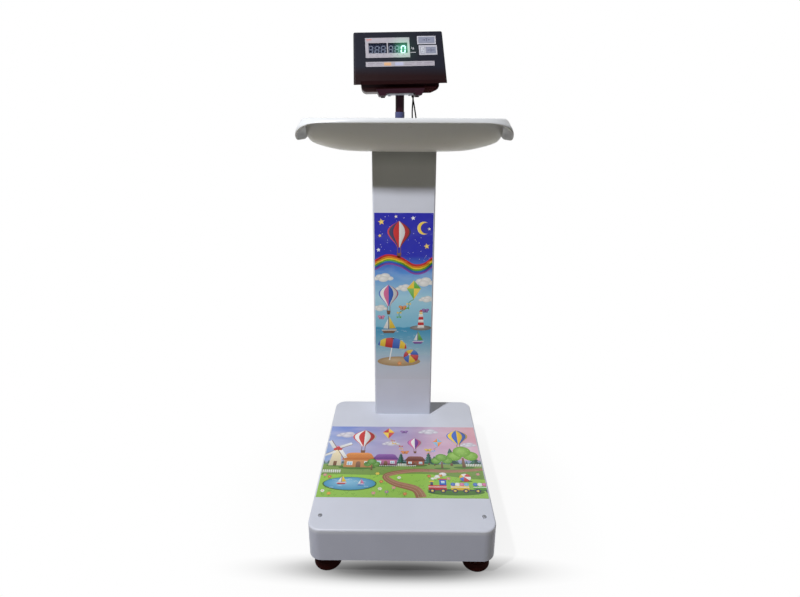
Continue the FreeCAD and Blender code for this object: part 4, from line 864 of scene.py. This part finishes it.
def far_trees(film, chance):
    for k in range(34):
        x = -194 + 11.8 * k + chance.uniform(-3, 3)
        rise = chance.uniform(13, 24)
        ink = between((70, 110, 104), (98, 124, 146), chance.random())
        foot = [(x + side * rise, HORIZON + 1) for side in (-0.26, 0.26)]
        film.plate([*foot, (x, HORIZON + rise)], ink, -0.2, 0.15)


def grass_blades(film, chance):
    for k in range(220):
        x, y = chance.uniform(-190, 190), chance.uniform(-134, HORIZON - 12)
        size = 1.2 + 2.4 * (HORIZON - y) / 115
        film.stroke([(x - size, y + size), (x, y), (x + 0.7 * size, y + 1.4 * size)], 0.5, (52, 112, 34))


def pond(film):
    film.oval(0, 0, 1, 0.36, (64, 110, 44), 0.1)
    film.up().oval(0, 1 / 64, 0.95, 0.33, (80, 166, 214), 0.4)
    film.up()
    for k in range(9):
        x, y = 0.65 * sin(2.4 * k), 1 / 64 + 0.22 * cos(1.7 * k)
        film.stroke([(x - 5 / 64, y), (x, y + 0.9 / 64), (x + 5 / 64, y)], 0.6 / 64, WHITE)


def farm_ground(film, chance):
    """Hills from the horizon to the lower edge, with a road, grass, a pond and fences."""
    film.spread(0, hills, HORIZON + 14, 5, 0.8, 0.6, (126, 152, 176), (160, 170, 204), HORIZON - 20)
    film.spread(1, hills, HORIZON + 5, 4, 1.3, 2.2, (76, 128, 96), (112, 152, 128), HORIZON - 24)
    film.spread(2, far_trees, chance)
    film.spread(3, hills, HORIZON - 2, 2.5, 1.0, 0.0, (92, 138, 46), (132, 160, 84))
    film.spread(4, hills, HORIZON - 46, 9, 0.6, 1.9, (146, 192, 84), (150, 200, 76))
    road = curve_through((196, -38), (120, -46), (30, -44), (-38, -62), (-20, -88), (30, -108), (44, -137))
    film.spread(5, dirt_road, road, (160, 108, 78))
    film.spread(7, grass_blades, chance)
    film.lay(7.5, pond, (-124, -92, 64))
    film.lay(8, picket_fence, (-62, -29, 11, 96 / 11), (150, -28, 10, 4.4), (-194, -54, 12, 44 / 12))


def platform_picture():
    """Farm landscape: sky with balloons and kites over houses, trees, a road, a pond and a train."""
    film = Picture(*PLATFORM_FILM)
    farm_ground(film, random.Random(4))
    film.lay(6.5, ground_shadow, (-112, -34, 46), (-44, -26, 36), (32, -25, 30), (152, -32, 26),
             (98, -36, 20), (-168, -28, 20))
    film.lay(7, conifer, (122, -26, 66), (66, -23, 46), (-4, -22, 42), (80, -26, 36), (180, -24, 50))
    film.lay(9, windmill, (-168, -28, 84))
    film.lay(9, cottage, (-110, -34, 72, (214, 150, 92), ORANGE), (-42, -26, 56, (196, 122, 164), VIOLET),
             (32, -25, 44, (158, 84, 60), (126, 58, 44)))
    film.lay(12, leafy_tree, (152, -32, 37, LEAF), (98, -36, 25, (112, 186, 40)))
    film.lay(14, leafy_tree, (-76, -44, 19, (92, 164, 44)))
    film.lay(12, sailing_boat, (-144, -88, 16, RED, YELLOW), (-98, -93, 12, BLUE, PINK))
    film.lay(9, ground_shadow, (124, -117, 66))
    film.lay(10, toy_train, (82, -116, 25))
    film.lay(9, ground_shadow, (150, -81, 16))
    film.lay(10, beach_ball, (150, -68, 14, (RED, WHITE, YELLOW, BLUE)))
    film.lay(12, flower, *((x, y, 5.4, ink) for x, y, ink in (
        (-186, -62, PINK), (-174, -68, RED), (-52, -108, WHITE), (-36, -118, VIOLET), (-20, -104, PINK),
        (64, -64, RED), (78, -70, WHITE), (92, -62, ORANGE), (182, -56, PINK), (-60, -56, YELLOW),
        (-184, -116, WHITE), (-168, -124, ORANGE), (6, -124, RED), (-8, -70, WHITE), (110, -72, PINK),
        (-50, -84, RED), (-66, -122, PINK))))
    film.lay(4, cloud, (-150, 96, 18, HAZE), (-30, 60, 15, HAZE), (70, 112, 17, HAZE), (172, 56, 14, HAZE))
    film.lay(7, hot_air_balloon, (-102, 84, 32, (RED, WHITE)), (146, 90, 29, (BLUE, YELLOW)),
             (32, 62, 20, (VIOLET, PINK, WHITE)))
    film.lay(7, kite, (-38, 106, 23, (YELLOW, RED), 1), (92, 66, 18, (SKY_BLUE, ORANGE), -1))
    film.lay(8, butterfly, (-164, 42, 13, PINK), (6, 24, 11, ORANGE), (66, 34, 10, YELLOW),
             (4, 112, 11, VIOLET))
    film.print_on("platform_picture", "platform")


def rainbow_ribbon(film, line, width):
    for k, ink in enumerate(RAINBOW):
        film.stroke([(x, y + (2.5 - k) * width) for x, y in line], 1.15 * width, ink)


def small_stars(film, chance):
    for k in range(46):
        x, y, reach = chance.uniform(-73, 73), chance.uniform(112, 234), chance.uniform(0.4, 1.1)
        film.oval(x, y, reach, reach, (226, 226, 250))


def open_sea(film, chance):
    """Water that pales towards the shore, with short wave lines."""
    crest = [(-76 + 4 * k, COLUMN_SEA + 1.2 * sin(0.9 * k)) for k in range(39)]
    near, far, count = (178, 204, 222), (48, 142, 188), 9
    rows = [[(x, COLUMN_SEA + 5 - 10 * k) for x, y in crest] for k in range(count + 1)]
    film.strip(crest, rows[1], (84, 170, 204), top=far)
    film.bands(rows[1:], between(far, near, 1 / count), near)
    film.up()
    for k in range(46):
        x, y = chance.uniform(-70, 70), chance.uniform(COLUMN_SEA - 80, COLUMN_SEA - 6)
        ink = between(WHITE, (110, 180, 208), chance.random())
        film.stroke([(x - 4, y), (x, y + 1), (x + 4, y)], 0.6, ink)


def column_picture():
    """Night sky over day sky and sea: stars, a balloon, a rainbow ribbon, boats and a beach."""
    film = Picture(*COLUMN_FILM)
    chance = random.Random(9)
    film.spread(0, small_stars, chance)
    film.lay(0.5, star, (-58, 214, 9, YELLOW), (24, 224, 6, WHITE), (60, 150, 8, YELLOW),
             (-66, 140, 6, WHITE), (-20, 228, 4.5, CREAM), (66, 196, 4.5, CREAM), (-62, 178, 5, YELLOW))
    film.lay(0.5, crescent, (52, 198, 17, YELLOW))
    film.lay(2, hot_air_balloon, (-12, 182, 31, (RED, NAVY, RED, WHITE)))
    line = curve_through((-76, 98), (-44, 114), (-8, 107), (26, 88), (54, 91), (76, 108))
    film.spread(2, rainbow_ribbon, line, 4.6)
    film.lay(1, cloud, (-54, 62, 17), (54, 50, 18), (2, 34, 14), (62, 2, 13), (-64, -24, 13))
    film.lay(4, kite, (28, 30, 27, (GREEN, YELLOW), -1))
    film.lay(4, hot_air_balloon, (-40, 14, 27, (BLUE, WHITE, PINK)))
    film.lay(4, butterfly, (-2, -22, 11, ORANGE), (60, -30, 10, VIOLET), (-60, -50, 10, PINK))
    film.spread(3, open_sea, chance)
    film.lay(5, lighthouse, (48, COLUMN_SEA - 2, 54))
    film.lay(6, sailing_boat, (-40, COLUMN_SEA - 8, 27, WOOD, YELLOW),
             (40, COLUMN_SEA - 42, 20, VIOLET, GREEN))
    film.spread(5, Picture.oval, -12, COLUMN_SHORE + 8, 60, 15, (196, 160, 112), 0.3)
    film.lay(6, parasol, (-38, COLUMN_SHORE + 12, 38, (BLUE, YELLOW, RED)))
    film.lay(8, beach_ball, (22, COLUMN_SHORE + 24, 21, (BLUE, YELLOW, RED)))
    film.lay(8, star, (-10, COLUMN_SHORE + 2, 8, ORANGE, 14))
    film.print_on("column_picture", "platform")


# ---- marks on the indicator ----
GHOST, KEY_INK, STRIP_INK = (250, 252, 255), (44, 46, 78), (122, 112, 130)
KEY_MIDDLES = {"tare_key": (76.0, 84.7), "unit_key": (64.2, 54.7), "zero_key": (86.2, 54.7)}


def segment(s, t, half, upright=False):
    """Outline of one bar of a digit with pointed ends, leaned with the digit."""
    w = DIGIT_STROKE / 2
    along = [(-half, 0), (-half + w, w), (half - w, w), (half, 0), (half - w, -w), (-half + w, -w)]
    points = [(v, u) if upright else (u, v) for u, v in along]
    return [(s + u + DIGIT_SLANT * (t + v), DIGIT_MIDDLE + t + v) for u, v in points]


def digit_segments(s):
    """The seven bars of a digit; the middle one comes last."""
    side, rise = (DIGIT_W - DIGIT_STROKE) / 2, (DIGIT_H - DIGIT_STROKE) / 2
    upright = [segment(s + j * side, k * rise / 2, rise / 2 - 0.3, True) for j in (-1, 1) for k in (-1, 1)]
    level = [segment(s, k * rise, side - 0.3) for k in (-1, 1, 0)]
    return level[:2] + upright + level[2:]


def arrow(film, s, t, size, side):
    """Short arrow that points to that side."""
    film.stroke([(s - side * size, t), (s, t)], 0.28 * size, KEY_INK)
    film.plate([(s, t - 0.5 * size), (s, t + 0.5 * size), (s + side * 0.7 * size, t)], KEY_INK)


def panel_marks():
    """Unlit digits, a weight sign, ticks on the bezel and the coloured fields of the label strip."""
    marks = Picture(over_panel(DIGIT_FACE))
    places = [group + step * DIGIT_PITCH for group in DIGIT_GROUPS for step in (-1, 0, 1)]
    for s in places[:-1]:
        for bar in digit_segments(s):
            marks.plate(bar, GHOST)
    marks.place = over_panel(BEZEL_FACE)
    marks.stroke([(-86, 88), (-72, 88)], 2.0, (206, 112, 96))
    marks.stroke([(-86, 84.5), (-77, 84.5)], 1.2, (206, 132, 118))
    for s in places:
        marks.plate([(s - 1.6, 44.8), (s + 1.6, 44.8), (s, 42.2)], STRIP_INK)
        marks.stroke([(s - 5, 39.4), (s + 5, 39.4)], 0.8, STRIP_INK)
    for k in range(24):
        s = 3.5 * k - 60
        marks.stroke([(s, 82.0), (s, 83.4 + 1.2 * (k % 4 == 0))], 0.45, STRIP_INK)
    marks.place = PANEL
    marks.plate(box(30.6, 45.0, 48.6, 50.2), (196, 198, 206))
    marks.place = over_panel(STRIP_FACE)
    marks.plate(box(-41.5, -22.5, 11.6, 20.8), (206, 158, 116), top=(214, 172, 134))
    marks.plate(box(-12.0, 10.0, 11.6, 20.8), (172, 176, 206), top=(184, 186, 212))
    for s0, s1 in ((-85, -66), (-62, -46), (14, 40), (46, 60), (66, 88)):
        marks.stroke([(s0, 18.4), (s1, 18.4)], 1.1, STRIP_INK)
        marks.stroke([(s0, 14.0), (s0 + 0.7 * (s1 - s0), 14.0)], 0.9, STRIP_INK)
    marks.print_on("panel_marks", "head")


def key_marks():
    """Signs for zero between two arrows, tare between two arrows, and a change of unit."""
    for body, middle in KEY_MIDDLES.items():
        sign = Picture(over_panel(KEY_FACE))
        sign.at = middle
        if body == "unit_key":
            sign.plate(box(-4.9, 4.9, -8.4, 8.4), (190, 194, 206), top=(206, 208, 218))
            sign.up()
            for side in (1, -1):
                arrow(sign, 1.2 * side, 3.2 * side, 3.6, side)
        else:
            for side in (-1, 1):
                arrow(sign, 6.4 * side, 0, 4.2, -side)
        if body == "tare_key":
            sign.stroke([(-2.4, 3.6), (2.4, 3.6)], 1.2, KEY_INK)
            sign.stroke([(0, 3.0), (0, -4.2)], 1.2, KEY_INK)
        elif body == "zero_key":
            sign.strip(arc(0, 0, 2.9, 4.3) + [(2.9, 0)], arc(0, 0, 1.7, 3.1) + [(1.7, 0)], KEY_INK)
        sign.print_on(body + "_mark", body)


def lit_digit():
    """The last digit shows a lit zero: every bar but the middle one."""
    bars = digit_segments(LIT_DIGIT)[:-1]
    face = over_panel(DIGIT_FACE + 0.03)
    corners = [face @ Vector((s, t, 0)) * MM for bar in bars for s, t in bar]
    mesh = add_mesh("lit_digit", corners, [tuple(range(6 * k, 6 * k + 6)) for k in range(len(bars))])
    glow = finished("lit_segment", (190, 255, 216), 0.4, 0.5, light_segment)
    add_piece("lit_digit", mesh, glow, "head")


def weight_sign():
    """The letters kg beside the window."""
    letters = bpy.data.curves.new("weight_sign", "FONT")
    letters.body, letters.size, letters.extrude = "kg", 8.2, 0.02
    letters.align_x = letters.align_y = "CENTER"
    mesh = mesh_of(letters)
    mesh.transform(Matrix.Scale(MM, 4) @ PANEL @ Matrix.Translation((36.8, 62.2, 0.03)))
    white = finished("white_ink", (226, 228, 236), 0.38, 0.3, printed_overlay)
    add_piece("weight_sign", mesh, white, "head")


# ---- captive cables ----
CABLE_R = 2.0
CABLE_SIDES = 20
# Each lead's length in metres and its route, from its gland on the head to its end.
ROUTES = {
    "load_cell_cable": (1.195, [
        HEAD @ Vector((41, 44, 994.6)), (22, 310.5, 968), (22.5, 303.5, 936), (24.5, 287.5, 900),
        (24.5, 255.5, 862), (23.4, 207.5, 834), (23.4, 165.5, 826), (23.4, 91.5, 826), (21.4, 95.5, 742),
        (2, 99.5, 440), (0, 115.5, 152), (0, 115.5, 84), (7, 65.5, 81), (4, 15.5, 79), (0, -39.1, 79)]),
    "power_cable": (0.969, [
        HEAD @ Vector((41, 57, 994.6)), (29.5, 323.5, 966), (34.5, 315.5, 932), (36, 295.5, 893),
        (34, 259.5, 856), (30.6, 208.5, 831), (30.6, 166.5, 826), (30.6, 90.5, 826), (30.6, 82.5, 740),
        (29.6, 83.5, 460), (26, 81.5, 260), (25, 73.5, 214), (25, 85.5, 200), (25, 103.2, 200)]),
}


def smooth_line(name, route):
    """Points in metres along the smooth curve that the route's points control."""
    curve = bpy.data.curves.new(name + "_line", "CURVE")
    curve.dimensions = "3D"
    curve.resolution_u = 14
    spline = curve.splines.new("NURBS")
    spline.points.add(len(route) - 1)
    for point, at in zip(spline.points, route):
        point.co = (*(Vector(at) * MM), 1.0)
    spline.order_u = 3
    spline.use_endpoint_u = True
    return [vertex.co.copy() for vertex in mesh_of(curve).vertices]


def tube(name, line, radius, count):
    """Round tube along a line, without twist, with that count of sides."""
    corners, faces, side = [], [], Vector((1, 0, 0))
    for k, at in enumerate(line):
        along = (line[min(k + 1, len(line) - 1)] - line[max(k - 1, 0)]).normalized()
        side = (side - along * side.dot(along)).normalized()
        corners += [at + Matrix.Rotation(2 * pi * j / count, 3, along) @ side * radius for j in range(count)]
    for k in range(0, len(corners) - count, count):
        for j in range(count):
            a, b = k + j, k + (j + 1) % count
            faces.append((a, b, b + count, a + count))
    faces += [tuple(range(count))[::-1], tuple(range(len(corners) - count, len(corners)))]
    mesh = add_mesh(name, corners, faces)
    mesh.shade_smooth()
    return add_object(name, mesh)


def lay_cables():
    """The two leads, laid as tubes along their routes between the head and the column, in place of the
    constructed ones.
    """
    for node, (length, route) in ROUTES.items():
        line = smooth_line(node, route)
        lead = tube(node + "_lead", line, CABLE_R * MM, CABLE_SIDES)
        lead.data.materials.append(FINISHES["cable_jacket"])
        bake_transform(lead)
        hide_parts(node)
        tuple(line[0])


# ---- scene ----
FLOOR_HALF = 6.0
# Painted shadow: oval of darker floor under the base's front edge.
UNDER_FRONT = (0, -0.353, 0.44, 0.049)    # middle and half size of the dark oval, in metres
NEAR_OBJECT = (0, -0.12, 0.50, 0.56)


def place_camera():
    data = bpy.data.cameras.new("camera")
    data.sensor_width = SENSOR
    data.lens = FOCAL_PX * SENSOR / IMAGE_W
    data.shift_y = -MIDDLE_BELOW_AXIS_PX / IMAGE_W
    camera = add_object("camera", data)
    axes = Matrix((CAMERA_RIGHT, CAMERA_UP, CAMERA_RIGHT.cross(CAMERA_UP))).transposed()
    camera.matrix_world = Matrix.Translation(CAMERA_AT) @ axes.to_4x4()
    bpy.context.scene.camera = camera


def make_world(ambient, colour):
    """Warm dim room all round, which the camera, mirrors and glass see as plain white."""
    world = bpy.data.worlds.new("world")
    world.use_nodes = True
    nodes = Nodes(world.node_tree)
    background, seen = nodes.tree.nodes["Background"].inputs, nodes.seen_directly()
    nodes.connect(nodes.span(seen, 0.0, 1.0, ambient, 1.0), background["Strength"])
    nodes.connect(nodes.mixed(seen, colour, UNTINTED), background["Color"])
    bpy.context.scene.world = world


def make_floor():
    """Pale floor that keeps the object's shadow, with a painted shadow oval under its front edge, and white
    further out.
    """
    corners = [(x, y, 0) for x, y in box(-FLOOR_HALF, FLOOR_HALF, -FLOOR_HALF, FLOOR_HALF)]
    mesh = add_mesh("floor", corners, [(0, 1, 2, 3)])
    add_object("floor", mesh)
    look = Look("floor", (255, 255, 255), 1.0)
    seen = look.seen_directly()
    # Painted shadow: towards the oval's middle the floor is darker and less of it is shown as white.
    front = look.vector("LENGTH", look.within(*UNDER_FRONT))
    painted_shade = look.ramp(front, greys_at((0.0, 0.05), (0.3, 0.10), (0.6, 0.34), (1.0, 0.95)))
    diffuse = look.node("BsdfDiffuse", "BSDF", {"Color": look.mixed(seen, srgb(176, 168, 156), painted_shade)})
    near = look.ramp(front, greys_at((0.0, 0.06), (0.2, 0.10), (0.3, 0.17), (0.45, 0.30), (0.67, 0.58),
                                         (0.8, 0.70), (1.0, 0.88)))
    far = look.span(look.vector("LENGTH", look.within(*NEAR_OBJECT)), 0.5, 1.0)
    share = look.mixed(seen, grey(0.0), look.mixed(far, near, UNTINTED))
    look.show(share, diffuse, look.node("Emission", "Emission", {}))
    mesh.materials.append(look.material)


def light_scene():
    make_world(0.075, (1.0, 0.94, 0.76, 1.0))
    for name, at, aim_z, size, power, colour in (
            ("key", (-1.06, -1.15, 2.60), 0.5, 0.17, 68.0, (1.0, 1.0, 1.0)),
            ("fill", (1.6, -1.8, 1.4), 0.6, 1.4, 0.4, (0.95, 0.97, 1.0)),
            ("behind", (0.7, 2.3, 1.9), 0.6, 1.6, 4.0, (1.0, 1.0, 1.0))):
        data = bpy.data.lights.new(name, "AREA")
        data.shape, data.size, data.energy, data.color = "DISK", size, power, colour
        light = add_object(name, data)
        light.location = at
        light.rotation_euler = (Vector((0, 0, aim_z)) - Vector(at)).to_track_quat("-Z", "Y").to_euler()


place_camera()
dress_nodes()
lay_cables()
platform_picture()
column_picture()
panel_marks()
key_marks()
lit_digit()
weight_sign()
light_scene()
make_floor()
bpy.context.scene.view_settings.view_transform = "Standard"
